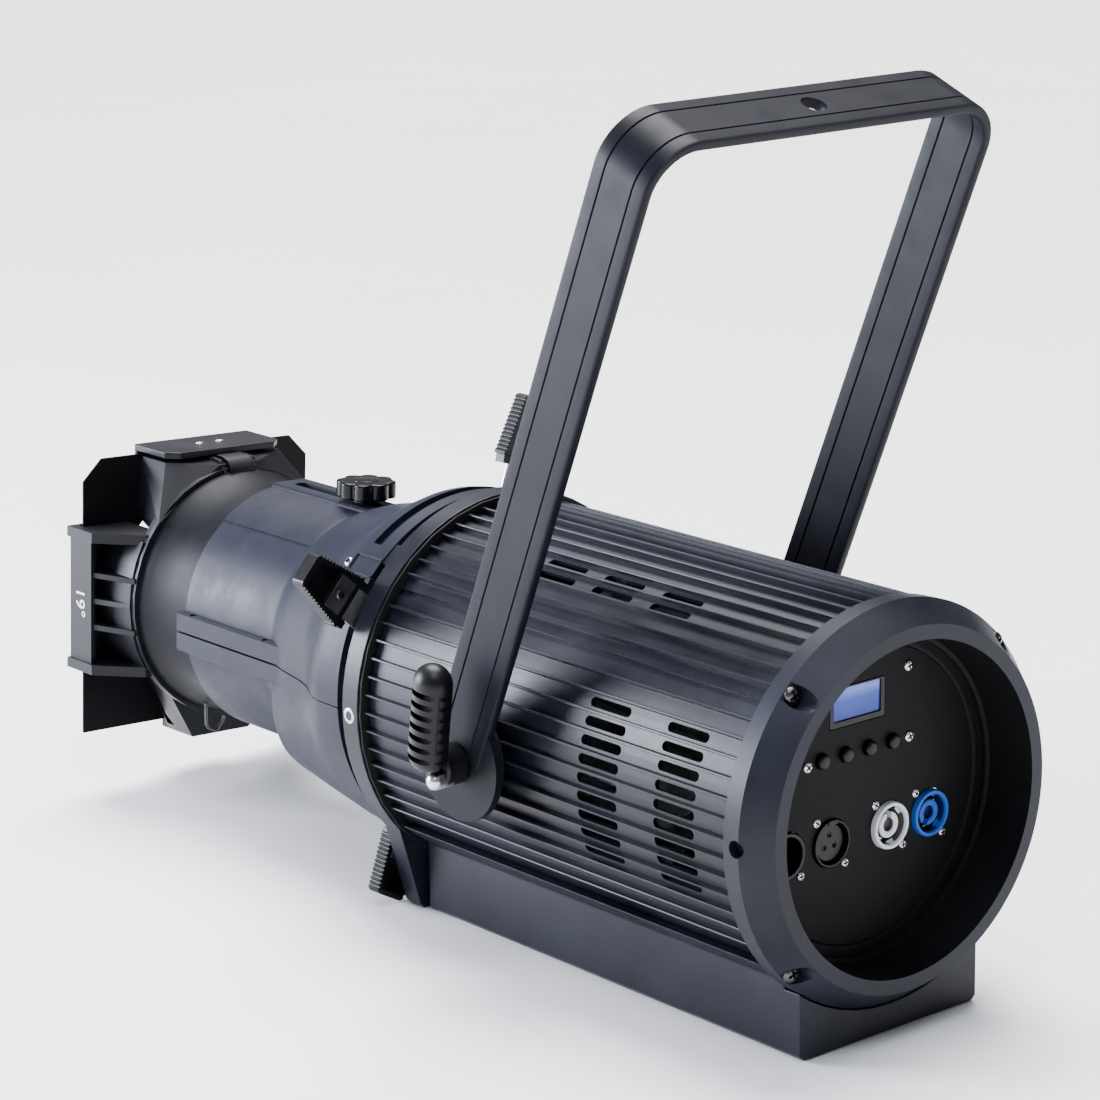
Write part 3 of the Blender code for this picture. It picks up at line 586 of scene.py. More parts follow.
def screw_head(name, body, place, radius, height, surface=SCREW, turn=20.0, replaces=()):
    """A pan-head screw with a cross recess. place puts its seat in the plane y = 0, facing +Y."""
    crown = [(0, height), (radius * 0.55, height * 0.97), (radius * 0.85, height * 0.72),
             (radius, height * 0.2), (radius, -0.4), (0, -0.4)]
    slot = box(-radius * 0.7, radius * 0.7, height * 0.1, height * 2, -radius * 0.17, radius * 0.17)
    cross = [[spun(slot, -turn - step)] for step in (0, 90)]
    head = piece(name, body, [domed(crown, 32)], surface, place, 0.08, cutters=cross, replaces=replaces)
    # Painted shade in the cross recess.
    shade_hollow(head, RECESS_SHADE, place, 0, radius * 0.72, height * 0.8)


# Rear end

PANEL_Y = -31.2
PANEL_RADIUS = 73.8
PANEL_CUT = (-20, -40)
PANEL_SCREWS = ((-27.9, 59.2), (-29.0, 23.4), (39.2, 22.5), (39.0, 59.0))
DISPLAY_CENTRE = (6.4, 47.5)
GLASS_CENTRE = (6.4, 48.5)
BUTTONS = {1: 30.1, 2: 14.3, 3: -1.4, 4: -17.2}
BUTTON_Z = 23.7
SOCKET_Z = -18.6
SOCKETS = {"data_input": 53.0, "data_output": 23.6, "power_outlet": -15.8, "power_inlet": -43.5}
SOCKET_RADIUS = 11.9
SOCKET_DEPTH = -22
SOCKET_SCREW_GAP = (19, 24)
PIN_CIRCLE = 3.6
CONTACT_CIRCLE = 3.9
POCKET_ANGLES = (45, 135, 225, 315)
POCKET_DISTANCE = 95.8
POCKET_RADIUS = 5.7
POCKET_FLOOR_Y = -13
SIDE_HOLE_Y = -16.1


def rear_bezel():
    profile = [
        (82.8, 0), (90.1, 0), (BEZEL_RADIUS, -14), (BEZEL_RADIUS - 0.4, -24.4), (92.4, -24.4), (92.4, -40),
        (88.4, -40), (88.4, -35.2), (PANEL_RADIUS + 0.4, -35.2), (PANEL_RADIUS + 0.4, -31.6), (76.2, -30.4),
        (79.4, -30.4), (79.4, -27.4), (81.4, -26.6),
    ]
    pocket = cylinder(POCKET_RADIUS, 2, POCKET_FLOOR_Y, count=40, centre=(POCKET_DISTANCE, 0))
    pockets = [spun(pocket, angle) for angle in POCKET_ANGLES]
    holes = [cylinder(4.3, side * 95, side * 104, "x", 32, (SIDE_HOLE_Y, 0)) for side in (1, -1)]
    ring = piece("bezel_ring", "housing", [turned(profile, 180)], BEZEL_COAT, edge=0.6,
                 cutters=[pockets, holes], replaces=("rear_bezel",), segments=3)
    # Painted shade: the bezel's inner steps, inside radius 82.5, take the black panel paint.
    shade_hollow(ring, SHEET_BLACK, LAMP, 0, 82.5, -1.5)
    for number, angle in enumerate(POCKET_ANGLES, 1):
        x, z = polar(POCKET_DISTANCE, angle)
        seat = at(x, POCKET_FLOOR_Y + 0.2, z)
        # Painted shade on each pocket's floor and the foot of its wall.
        shade_hollow(ring, RECESS_SHADE, seat, 0, POCKET_RADIUS + 0.1, 0.9, -0.4)
        screw_head(f"bezel_socket_screw_{number}", "housing", seat, 4.4, 2.6, DARK_METAL,
                   replaces=(f"bezel_screw_{number}",))


def rear_panel():
    holes = [prism(rounded(37.4, 20.4, 1.2, 4, DISPLAY_CENTRE), *PANEL_CUT)]
    holes += [cylinder(4.1, *PANEL_CUT, count=32, centre=(x, BUTTON_Z)) for x in BUTTONS.values()]
    holes += [cylinder(SOCKET_RADIUS + 0.35, *PANEL_CUT, centre=(x, SOCKET_Z)) for x in SOCKETS.values()]
    piece("panel_sheet", "housing", [cylinder(PANEL_RADIUS, PANEL_Y - 2, PANEL_Y, count=128)], SHEET_BLACK,
          edge=0.15, cutters=[holes], replaces=("control_panel",))
    rim = prism(rounded(36.8, 19.8, 1.0, 4, DISPLAY_CENTRE), PANEL_Y - 2.4, PANEL_Y + 0.15)
    opening = prism(rounded(31.4, 15.8, 0.8, 4, GLASS_CENTRE), PANEL_Y - 1.3, PANEL_Y + 3)
    piece("display_surround", "housing", [rim], GLOSS_BLACK, edge=0.3, cutters=[[opening]])
    glass = prism(rounded(31.2, 15.6, 0.7, 4, GLASS_CENTRE), PANEL_Y - 1.25, PANEL_Y - 0.75)
    piece("display_glass", "housing", [glass], DISPLAY, edge=0.1, replaces=("display_window",))
    for number, (x, z) in enumerate(PANEL_SCREWS, 1):
        screw_head(f"panel_screw_{number}", "housing", at(x, PANEL_Y, z), 2.9, 1.1, turn=12 * number)
    cap = [(0, 3.4), (2.2, 3.35), (3.2, 3.0), (3.7, 2.4), (3.7, -2.2), (4.6, -2.2), (4.6, -2.9), (0, -2.9)]
    for number, x in BUTTONS.items():
        node = f"menu_button_{number}"
        piece(f"button_cap_{number}", node, [domed(cap, 48)], BLACK, at(x, PANEL_Y, BUTTON_Z), 0.15,
              replaces=(node,))


def socket_screws(name, x):
    """The two screws of a chassis socket, at opposite corners of its flange."""
    across, upwards = SOCKET_SCREW_GAP
    for side, label in ((1, "upper"), (-1, "lower")):
        place = at(x + side * across / 2, PANEL_Y, SOCKET_Z + side * upwards / 2)
        screw_head(f"{name}_screw_{label}", "housing", place, 2.4, 1.0, turn=30 + 25 * side)


def data_sockets():
    """The two round signal sockets: one shows pins in a deep cup, the other three holes and a release tab."""
    place = at(SOCKETS["data_input"], PANEL_Y, SOCKET_Z)
    floor = -15
    cup = [(SOCKET_RADIUS, 0.4), (SOCKET_RADIUS, SOCKET_DEPTH), (0.9, SOCKET_DEPTH), (0.9, floor),
           (9.3, floor), (9.3, 0.4), (9.8, 1.3), (11.4, 1.3)]
    key = box(-1.3, 1.3, -15.5, -1.2, -9.6, -7.6)
    piece("pin_socket_cup", "housing", [turned(cup, 64)], BLACK, place, 0.2,
          unions=[[cylinder(1.9, SOCKET_DEPTH, floor)], [key]], replaces=("data_input",))
    pin = [(0, 11.2), (0.5, 11.1), (1.1, 10.2), (1.1, -0.4), (0, -0.4)]
    for number, (u, v) in enumerate(circle(PIN_CIRCLE, 3, phase=30), 1):
        piece(f"signal_pin_{number}", "housing", [domed(pin, 20)], SCREW, at(u, floor, v, place))
    socket_screws("pin_socket", SOCKETS["data_input"])

    place = at(SOCKETS["data_output"], PANEL_Y, SOCKET_Z)
    ring = turned([(SOCKET_RADIUS, 0.5), (SOCKET_RADIUS, -9), (10.3, -9), (10.3, 0.5), (10.7, 1.5),
                   (11.5, 1.5)], 64)
    core = domed([(0, -0.9), (8.9, -0.9), (9.3, -1.3), (9.3, -9), (0, -9)], 64)
    spots = circle(CONTACT_CIRCLE, 3, phase=210)
    holes = [cylinder(1.5, -8, 3, count=24, centre=spot) for spot in spots]
    back = cylinder(SOCKET_RADIUS, SOCKET_DEPTH, -8.5, count=64)
    tab = box(-3.0, 3.0, -1.5, 1.9, 9.6, 11.6)
    piece("hole_socket_body", "housing", [back], BLACK, place, 0.2, unions=[[ring], [core], [tab]],
          cutters=[holes], replaces=("data_output",))
    for number, spot in enumerate(spots, 1):
        contact = turned([(1.45, -2.2), (1.45, -7.5), (0.9, -7.5), (0.9, -2.2)], 20, centre=spot)
        piece(f"signal_contact_{number}", "housing", [contact], SCREW, place)
    socket_screws("hole_socket", SOCKETS["data_output"])


def power_sockets():
    """Two locking mains sockets: a ring, a deep circular channel and a keyed core with three contacts."""
    floor = -12
    for name, surface, deep, slot, twist in (
        ("power_outlet", GREY, GREY_CHANNEL_SHADE, "outlet_grey", 0),
        ("power_inlet", BLUE, BLUE_CHANNEL_SHADE, "inlet_blue", 150),
    ):
        place = at(SOCKETS[name], PANEL_Y, SOCKET_Z)
        body = cylinder(SOCKET_RADIUS, -24, -11, count=72)
        ring = turned([(SOCKET_RADIUS, 1.2), (SOCKET_RADIUS, floor), (9.4, floor), (9.4, 1.0), (9.9, 2.4),
                       (11.4, 2.4)], 72)
        core = turned([(6.6, -0.4), (6.6, floor), (3.4, floor), (3.4, -0.4), (3.9, 0.2), (6.1, 0.2)], 60)
        hub = domed([(0, -3.0), (3.5, -3.0), (3.5, floor), (0, floor)], 36)
        notch = spun(box(-1.7, 1.7, -9, 5, 2.0, 8.0), -twist)
        wedges = [spun(box(-2.2, 2.2, -13, -1.0, 8.2, 10.2), -twist - turn) for turn in (70, 190, 310)]
        socket = piece(f"{name}_body", "housing", [body], surface, place, 0.25,
                       unions=[[ring], [core], [hub], wedges], cutters=[[notch]], replaces=(name,))
        # Painted shade: the hollow inside the core and the channel round it take the darker copy.
        shade_hollow(socket, deep, place, 0, 3.6, -0.8)
        shade_hollow(socket, deep, place, 6.5, 9.5, -1.2)
        for number, angle in enumerate((30, 150, 270), 1):
            blade = spun(box(-1.6, 1.6, -9, -2.4, 7.1, 7.7), -twist - angle)
            piece(f"{name}_contact_{number}", "housing", [blade], SCREW, place, 0.08)
        socket_screws(name, SOCKETS[name])


# Finned shell, base and front end plate

# Fins are counted from the +X side over the top; a row of vents lies between one fin and the next
FINS = 64
FIN_PITCH = 360.0 / FINS
FIN_OFFSET = 1.0
FIN_HALF_ANGLE = 0.35
WALL_RADIUS = 95.3
BORE_RADIUS = 92.8
SEAM_RADIUS = 94.1
FIN_TIP = 98.8
SHELL_REAR_Y = -24.8
SHELL_FRONT_Y = -296.2
SEAM_FINS = (7, 25)
COVERED_FINS = range(39, 58)
SIDE_ROWS = (*range(5), 60, 61, 62, 63, *range(27, 36))
SIDE_VENTS = ((-132.6, -103.8), (-77.6, -49.3))
TOP_ROWS = (10, 11, 20, 21)
TOP_VENTS = ((-217.0, -188.4), (-174.4, -145.8), (-131.6, -103.8))
END_SCREW_Y = -305.6
END_SCREW_ANGLE = 0.8


def vent(row, front, rear):
    """The cutter for one slot between two fins, from its front end to its rear end."""
    slot = prism([(y + (front + rear) / 2, z) for y, z in rounded(rear - front, 5.0, 2.45, 8)], 88, 97, "x")
    return spun(slot, FIN_OFFSET + (row + 0.5) * FIN_PITCH)


def housing_shell():
    """A round wall with fine radial fins, a groove on each side where its halves meet, and rows of vents."""
    half = FIN_HALF_ANGLE
    outline = []
    for number in range(FINS):
        angle = FIN_OFFSET + number * FIN_PITCH
        if number in COVERED_FINS:
            steps = ((WALL_RADIUS, 0.0),)
        elif number in SEAM_FINS:
            steps = ((WALL_RADIUS, -0.95), (SEAM_RADIUS, -0.9), (SEAM_RADIUS, 0.9), (WALL_RADIUS, 0.95))
        else:
            steps = ((WALL_RADIUS, -half - 0.12), (FIN_TIP - 0.3, -half), (FIN_TIP, -half + 0.12),
                     (FIN_TIP, half - 0.12), (FIN_TIP - 0.3, half), (WALL_RADIUS, half + 0.12))
        outline += [polar(radius, angle + shift) for radius, shift in (*steps, (WALL_RADIUS, FIN_PITCH / 2))]
    bore = cylinder(BORE_RADIUS, SHELL_REAR_Y + 2, SHELL_FRONT_Y - 2, count=128)
    vents = [vent(row, *ends) for row in SIDE_ROWS for ends in SIDE_VENTS]
    vents += [vent(row, *ends) for row in TOP_ROWS for ends in TOP_VENTS]
    piece("finned_shell", "housing", [prism(outline, SHELL_REAR_Y, SHELL_FRONT_Y)], TEXTURED,
          cutters=[[bore], vents], replaces=("housing_shell",), angle=20)


def base_and_end():
    """The driver base, the front end plate and a washered screw on each of its sides."""
    refined("base_housing", "driver_base", TEXTURED, 1.0, 3)
    refined("front_end_plate", "end_casting", TEXTURED, 0.9, 3)
    # The black gasket is mostly painted shade, where the front flange's rear face falls dark.
    refined("end_gasket", "end_seal_flange_shade", FLANGE_SHADE_RUBBER, 0.2)
    plate_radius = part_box("front_end_plate")[1].z / MM - LAMP.translation.z / MM
    for angle, name in ((-END_SCREW_ANGLE, "right"), (180 + END_SCREW_ANGLE, "left")):
        place = radial(angle, plate_radius - 0.7, END_SCREW_Y)
        washer = turned([(2.1, -1.0), (4.6, -1.0), (4.6, 0.25), (4.1, 0.6), (2.6, 0.6), (2.1, 0.1)], 48)
        piece(f"end_washer_{name}", "housing", [washer], SCREW, place)
        plug = domed([(0, -0.6), (1.5, -0.6), (2.0, -0.2), (2.05, -1.0), (0, -1.0)], 6)
        piece(f"end_screw_{name}", "housing", [plug], DARK_METAL, place)


# Pivots, clamp levers and yoke

YOKE_OUTER = 112.4
YOKE_THICKNESS = 5.4
YOKE_HALF_WIDTH = 18.5
YOKE_HEIGHT = 354.0
YOKE_BEND = 27.0
YOKE_SHIFT = -3.0
YOKE_PLATE_RADIUS = 30.3
GRIP_TURN = -8.0
GRIP_X = 131.0
GRIP_HALF_THICKNESS = 9.3
GRIP_HALF_WIDTH = 10.8
GRIP_FOOT_Z = 9.0
GRIP_HEAD_Z = 46.0
GRIP_FOOT_DEPTH = 9.8
GRIP_HEAD_HEIGHT = 10.4
HUB_START = YOKE_OUTER + 0.5


def pivots():
    for side, name in SIDES:
        refined(f"pivot_boss_{name}", f"tilt_boss_{name}", TEXTURED, 0.8, 3)
        clamp_lever(side, name)


def clamp_lever(side, name):
    """A ribbed grip: an upright capsule with seven grooves across its face and notches down its sides."""
    place = at(0, PIVOT_Y, 0) @ Matrix.Rotation(radians(GRIP_TURN), 4, "X")
    below = [radians(90 - 10 * step) for step in range(1, 9)]
    above = [radians(10 * step) for step in range(1, 9)]
    stations = [(GRIP_FOOT_Z - GRIP_FOOT_DEPTH * sin(angle), cos(angle)) for angle in below]
    stations += [(GRIP_FOOT_Z + (GRIP_HEAD_Z - GRIP_FOOT_Z) * step / 6, 1.0) for step in range(7)]
    stations += [(GRIP_HEAD_Z + GRIP_HEAD_HEIGHT * sin(angle), cos(angle)) for angle in above]

    def capsule(body):
        join(body, [
            [body.verts.new((GRIP_X + GRIP_HALF_THICKNESS * share * u, GRIP_HALF_WIDTH * share * v, z))
             for u, v in circle(1.0, 64)]
            for z, share in stations
        ])

    rows = [8.0 + 5.7 * row for row in range(7)]
    grooves = [prism(rounded(15.4, 2.9, 1.4, 5, (0.8, z)), GRIP_X + 3.4, 145, "x") for z in rows]
    notches = [prism(circle(1.3, 20, (edge * 11.2, z)), 118, 145, "x") for z in rows for edge in (1, -1)]
    flip = Matrix.Scale(side, 4, (1, 0, 0))
    node = f"clamp_lever_{name}"
    grip = piece(f"lever_grip_{name}", node, [moved(capsule, flip)], BLACK, place, replaces=(node,),
                 angle=30)
    cut_after(grip, [moved(part, flip) for part in (*grooves, *notches)], BLACK, place)
    hub = turned([(6.3, HUB_START), (10.6, HUB_START), (10.6, 124.5), (9.6, 125.6), (6.3, 125.6)], 48,
                 axis="x")
    piece(f"lever_hub_{name}", node, [moved(hub, flip)], BLACK, place, 0.4)
    bolt = domed([(0, 133.0), (2.4, 132.7), (4.0, 131.4), (4.7, 129.0), (4.7, 120.0), (0, 120.0)], 32, "x",
                 (4.5, -4.6))
    piece(f"lever_bolt_{name}", node, [moved(bolt, flip)], SCREW, place, 0.2)


def cut_after(obj, shapes, surface, place):
    """Cuts shapes out of a piece that is finished otherwise."""
    carve(obj, [("DIFFERENCE", shapes)], place)
    clean(obj.data)
    obj.data.shade_smooth()
    obj.data.set_sharp_from_angle(angle=radians(CUT_EDGE_ANGLE))
    finish(obj, surface)


def yoke():
    """A bent flat bar with rounded edges and two fine grooves along each face, ending in round plates."""
    half, thick = YOKE_HALF_WIDTH, YOKE_THICKNESS
    groove = half - 8.5
    corner = [(0.0, half - 1.8), (0.5, half - 0.55), (1.8, half), (thick - 1.8, half),
              (thick - 0.5, half - 0.55), (thick, half - 1.8)]
    face = [(depth, across) for edge in (-groove, groove)
            for depth, across in ((0, edge - 0.6), (0.8, edge - 0.25), (0.8, edge + 0.25), (0, edge + 0.6))]
    inner = [(thick - depth, across) for depth, across in reversed(face)]
    section = face + corner + inner + [(depth, -across) for depth, across in reversed(corner)]
    stations = [((YOKE_OUTER, height), (-1.0, 0.0)) for height in (6.0, 60.0, 120.0, 180.0, 240.0, 300.0)]
    bend_x, bend_z = YOKE_OUTER - YOKE_BEND, YOKE_HEIGHT - YOKE_BEND
    for step in range(17):
        angle = pi / 2 * step / 16
        spot = (bend_x + YOKE_BEND * cos(angle), bend_z + YOKE_BEND * sin(angle))
        stations.append((spot, (-cos(angle), -sin(angle))))
    stations += [((-x, h), (-i, j)) for (x, h), (i, j) in reversed(stations)]

    def bar(body):
        join(body, [
            [body.verts.new((x + depth * i, across + YOKE_SHIFT, h + depth * j)) for depth, across in section]
            for (x, h), (i, j) in stations
        ])

    plates = [[cylinder(YOKE_PLATE_RADIUS, side * (YOKE_OUTER - 0.6), side * (YOKE_OUTER - thick + 0.4),
                        "x", 96)] for side in (1, -1)]
    holes = [cylinder(6.4, side * 90, side * 130, "x", 40) for side in (1, -1)]
    holes.append(cylinder(6.5, YOKE_HEIGHT - 20, YOKE_HEIGHT + 10, "z", 48, (0, YOKE_SHIFT)))
    piece("yoke_bar", "yoke", [bar], YOKE_PAINT, YOKE, 0.35, unions=plates, cutters=[holes],
          replaces=("yoke",), angle=30)


# Rotating barrel

BARREL_REAR_Y = -321.4
BARREL_FRONT_Y = -497.0
BARREL_RADIUS = 71.0
BARREL_BORE = 66.6
COLLAR_REAR_Y = -303.9
COLLAR_FRONT_Y = -313.2
POST_ANGLES = (44, 134, 224, 314)
RAIL_X = 75.4
RAIL_ENDS = (-499, -398)
RAIL_SCREW_X = 73.0
RAIL_SCREW_YS = {"front": -486, "rear": -418}
LOWER_START = 184.2
LOWER_SWEEP = 171.6
LOWER_STEPS = 96
KNOB_Y = -425.0


def barrel():
    collar = [(97.2, COLLAR_REAR_Y), (97.2, -312.6), (96.6, COLLAR_FRONT_Y), (36.0, COLLAR_FRONT_Y),
              (36.0, -310.4), (90.0, -310.4), (90.0, COLLAR_REAR_Y)]
    posts = [turned([(90.5, -312.5), (96.4, -312.5), (96.4, -321.0), (90.5, -321.0)], 10, start, start + 8)
             for start in POST_ANGLES]
    piece("collar_ring", "barrel", [turned(collar, 160)], COLLAR_PAINT, BARREL, 0.4, unions=[posts],
          replaces=("barrel_collar",))
    upper = [(97.0, BARREL_REAR_Y), (96.9, -338), (95.9, -344), (93.2, -350), (89.6, -356), (85.4, -364),
             (82.0, -374), (79.6, -386), (77.4, -397), (74.0, -408), (71.6, -414), (BARREL_RADIUS, -418),
             (BARREL_RADIUS, BARREL_FRONT_Y)]
    lining = [(BARREL_BORE, BARREL_FRONT_Y), (BARREL_BORE, -416), (70.4, -405), (75.0, -389), (78.6, -372),
              (86.0, -350), (91.8, -331), (92.0, BARREL_REAR_Y)]
    crown = turned([(70, -411), (71.9, -417), (71.9, -496.4), (70, -496.4)], 40, 51, 129)
    blade_slot = turned([(93.6, -330.5), (99, -330.5), (99, -337.5), (93.6, -337.5)], 60, 50, 130)
    slot = prism(rounded(8.0, 91.0, 3.9, 8, (0, -442.5)), 50, 90, "z")
    rail = prism([(-12, 69), (-12, 72.0), (-10.8, 73.2), (10.8, 73.2), (12, 72.0), (12, 69)], -496.6, -396)
    upper_rail = [(69.5, -4.4), (RAIL_X, -4.4), (RAIL_X, 5.4), (RAIL_X - 1, 6.4), (69.5, 6.4)]
    pits = [cylinder(1.9, 4.4, 12, "z", 32, (side * RAIL_SCREW_X, y))
            for side in (1, -1) for y in RAIL_SCREW_YS.values()]
    piece("upper_casting", "barrel", [turned(upper + lining, 96, -3.8, 183.8)], SATIN, BARREL, 0.5,
          unions=[[crown], [rail], *side_rails(upper_rail)], cutters=[[slot], [blade_slot], pits],
          replaces=("upper_barrel",))
    lower_rail = [(69.0, -5.6), (RAIL_X, -5.6), (RAIL_X, -15.2), (RAIL_X - 0.8, -16), (69.0, -16)]
    piece("lower_casting", "barrel", [belly(lining)], SATIN, BARREL, 0.5, unions=side_rails(lower_rail),
          replaces=("lower_barrel",))
    for side, name in SIDES:
        for end, y in RAIL_SCREW_YS.items():
            seat = at(side * RAIL_SCREW_X, y, 4.5, BARREL) @ Matrix.Rotation(pi / 2, 4, "X")
            screw_head(f"rail_screw_{name}_{end}", "barrel", seat, 1.7, 0.9, DARK_METAL, 15)
    refined("gate_ring", "gate_retainer", SHEET_BLACK, 0.2)


def side_rails(outline):
    """The same straight rail along both sides of the barrel."""
    return [[prism([(side * x, z) for x, z in outline], *RAIL_ENDS)] for side in (1, -1)]


def belly(lining):
    """The lower casting: it leaves the seams like the upper one and bulges towards its underside."""
    stations = [(BARREL_REAR_Y, 97.0, 97.0), (-338, 96.6, 95.4), (-346, 95.0, 94.6), (-356, 89.9, 93.2),
                (-364, 85.7, 92.0), (-375, 82.0, 90.4), (-386, 79.8, 88.8), (-397, 77.4, 87.0),
                (-406, 74.8, 85.6), (-411, 73.2, 84.8), (-414, 72.4, 74.0),
                (-422, BARREL_RADIUS, BARREL_RADIUS),
                (BARREL_FRONT_Y, BARREL_RADIUS, BARREL_RADIUS)]

    def build(body):
        rings = []
        for step in range(LOWER_STEPS + 1):
            angle = LOWER_START + LOWER_SWEEP * step / LOWER_STEPS
            share = min(1.0, (90 - abs(angle - 270)) / 45)
            share = share * share * (3 - 2 * share)
            outline = [(side + (under - side) * share, y) for y, side, under in stations] + lining
            rings.append([body.verts.new(along("y", *polar(radius, angle), y)) for radius, y in outline])
        join(body, rings)

    return build


def barrel_trim():
    """Raised frames beside the shutter slots, a screw by each, and two small brackets under the barrel."""
    for angle, name in ((41.8, "right"), (138.2, "left")):
        lift = radial(angle, 96.2, -331.5, BARREL)
        ring = prism(rounded(22, 12.5, 2.4, 6), 0.0, 1.7)
        window = prism(rounded(19.4, 9.9, 1.4, 6), 0.85, 3)
        piece(f"slot_frame_{name}", "barrel", [ring], SATIN, lift, 0.2, cutters=[[window]])
        screw_head(f"slot_screw_{name}", "barrel", radial(angle, 94.6, -347.5, BARREL), 2.7, 1.6)
    for side, name in SIDES:
        bracket = box(side * 18, side * 34, -352, -330, -92.5, -88.5)
        piece(f"under_bracket_{name}", "barrel", [bracket], COLLAR_PAINT, BARREL, 0.8, segments=3)


# Each shutter's direction, its handle's shift to the side and outwards, and the blade's layer
SHUTTERS = {
    "side": (42.0, 20.6, 0.0, 0),
    "top": (108.5, 11.7, 9.0, 1),
    "bottom": (-61.0, -10.0, -8.8, 2),
    "far": (211.0, 0.0, 0.0, 3),
}
LAYER = 1.7
FIRST_LAYER_Y = -314.4
HANDLE_SHIFT_Y = -2.9
HANDLE_START = 106.5
PLATE_SPOT = 114.8


def shutters():
    for name, (direction, offset, out, layer) in SHUTTERS.items():
        turn = direction - BARREL_TURN
        sine, cosine = sin(radians(turn)), cos(radians(turn))
        place = at(offset * sine + out * cosine, FIRST_LAYER_Y - LAYER * layer,
                   -offset * cosine + out * sine, BARREL)
        place = place @ Matrix.Rotation(radians(-turn), 4, "Y")
        shutter_handle(name, place, LAYER * layer + HANDLE_SHIFT_Y)
        refined(f"shutter_blade_{name}", f"blade_{name}", BLADE, 0.12)


def shutter_handle(name, place, middle):
    """A tapered grip: ribbed edges, a sunk face and a screwed plate that holds the blade's tail."""
    edge = [(HANDLE_START, 15.0)]
    for step in range(13):
        u = 108.6 + step * 2.3
        v = 15.0 - (u - HANDLE_START) * 0.17
        edge += [(u, v), (u + 0.5, v - 0.9), (u + 1.4, v - 0.9), (u + 1.7, v)]
    edge += [(139.6, 8.4), (140.2, 7.0)]
    grip = prism(edge + [(u, -v) for u, v in reversed(edge)], middle - 4.4, middle + 4.4)
    root = prism([(102, -13.6), (108.7, -13.9), (108.7, 13.9), (102, 13.6)], middle - 3.6, middle + 3.6)
    tail_slot = prism([(100, -9.5), (112.6, -9.5), (112.6, 9.5), (100, 9.5)], -0.85, 0.85)
    sunk = prism([(122.5, -9.8), (137.0, -7.0), (137.0, 7.0), (122.5, 9.8)], middle - 1.2, middle + 8)
    seat = prism(rounded(11.5, 19.4, 1.0, 4, (PLATE_SPOT, 0)), middle + 3.4, middle + 8)
    body = f"shutter_{name}"
    piece(f"grip_{name}", body, [grip], BLACK, place, 0.3, unions=[[root]],
          cutters=[[tail_slot], [sunk], [seat]], replaces=(f"shutter_handle_{name}",))
    plate = prism(rounded(11.0, 18.9, 0.9, 4, (PLATE_SPOT, 0)), middle + 3.45, middle + 4.3)
    piece(f"grip_plate_{name}", body, [plate], PLATE_METAL, place, 0.2)
    screw_place = at(PLATE_SPOT, middle + 4.3, 0, place)
    screw_head(f"grip_screw_{name}", body, screw_place, 2.6, 0.7, DARK_METAL, 30)


# Lens tube, accessory holder and what it carries

TUBE_RADIUS = 66.0
TUBE_BORE = 62.6
TUBE_REAR_Y = -405.0
TUBE_FRONT_Y = -549
FLARE_RADIUS = 71.4
DOOR_TOP_Z = 82.55
MARK_SPOT = (85.05, -582.5, -4.0)


def lens_tube():
    profile = [(TUBE_RADIUS, TUBE_REAR_Y), (TUBE_RADIUS, -516), (66.5, -523), (67.6, -530), (69.4, -537),
               (FLARE_RADIUS, -542), (FLARE_RADIUS, TUBE_FRONT_Y), (TUBE_RADIUS, TUBE_FRONT_Y),
               (TUBE_RADIUS, -541), (TUBE_BORE, -522), (TUBE_BORE, TUBE_REAR_Y)]
    stud_hole = cylinder(3.9, 50, 80, "z", 32, (0, KNOB_Y))
    piece("sliding_tube", "lens_tube", [turned(profile, 160)], TUBE_BLACK, BARREL, 0.3, cutters=[[stud_hole]],
          replaces=("lens_tube",))
    rear = [(0, -412), (18, -412.7), (32, -414.3), (46, -417.2), (56, -420), (62.2, -422), (62.2, -426),
            (0, -426)]
    piece("rear_lens_glass", "lens_tube", [domed(rear, 96)], GLASS, BARREL, 0.2, replaces=("rear_lens",))
    front = [(0, -548.6), (65.6, -548.6), (65.6, -541.4), (52, -537), (40, -534.6), (28, -533), (14, -531.5),
             (0, -531)]
    piece("front_lens_glass", "lens_tube", [domed(front, 96)], GLASS, BARREL, 0.2, replaces=("front_lens",))


def accessory_holder():
    """The holder, its gel frame and door, the latch behind the door, and the wire loop below the tube."""
    refined("accessory_holder", "holder_bracket", HOLDER_BLACK, 0.9, 3)
    refined("gel_frame", "gel_frame_sheet", SHEET_BLACK, 0.2)
    refined("retaining_door", "top_door", HOLDER_BLACK, 0.7, 3)
    clip = [(-556.5, 76.0), (-556.5, 79.2), (-550, 79.0), (-544.5, 77.4), (-541.0, 73.0), (-541.0, 69.6),
            (-543.2, 69.6), (-543.2, 72.2), (-546, 74.6), (-550, 76.0)]
    cheek = [(-557, 75.0), (-557, 78.3), (-548, 77.6), (-540.6, 69.8), (-542.8, 69.8), (-548.5, 74.2)]
    piece("hood_latch", "lens_tube", [prism(clip, -8.5, 8.5, "x")], HOLDER_BLACK, BARREL, 0.5, segments=3)
    for side, name in SIDES:
        guide = prism(cheek, side * 10, side * 12.6, "x")
        piece(f"hood_latch_guide_{name}", "lens_tube", [guide], HOLDER_BLACK, BARREL, 0.4)
    for number, x in enumerate((-7, 7), 1):
        seat = at(x, -575, DOOR_TOP_Z, BARREL) @ Matrix.Rotation(pi / 2, 4, "X")
        screw_head(f"door_screw_{number}", "retaining_door", seat, 2.4, 0.9)
    points = [(34, -529, -59.8), (33.4, -529.6, -64), (33, -530, -68), (32.6, -530, -73.4),
              (31.0, -530, -75.4), (26.6, -530, -77.6), (24.8, -530, -76.8), (21.0, -530, -72.2),
              (20.5, -530, -70.6), (20.4, -530, -69.6)]
    wire = swept(circle(0.9, 12), points, (0, 1, 0))
    piece("wire_loop", "lens_tube", [wire], DARK_METAL, BARREL, replaces=("wire_clip",))


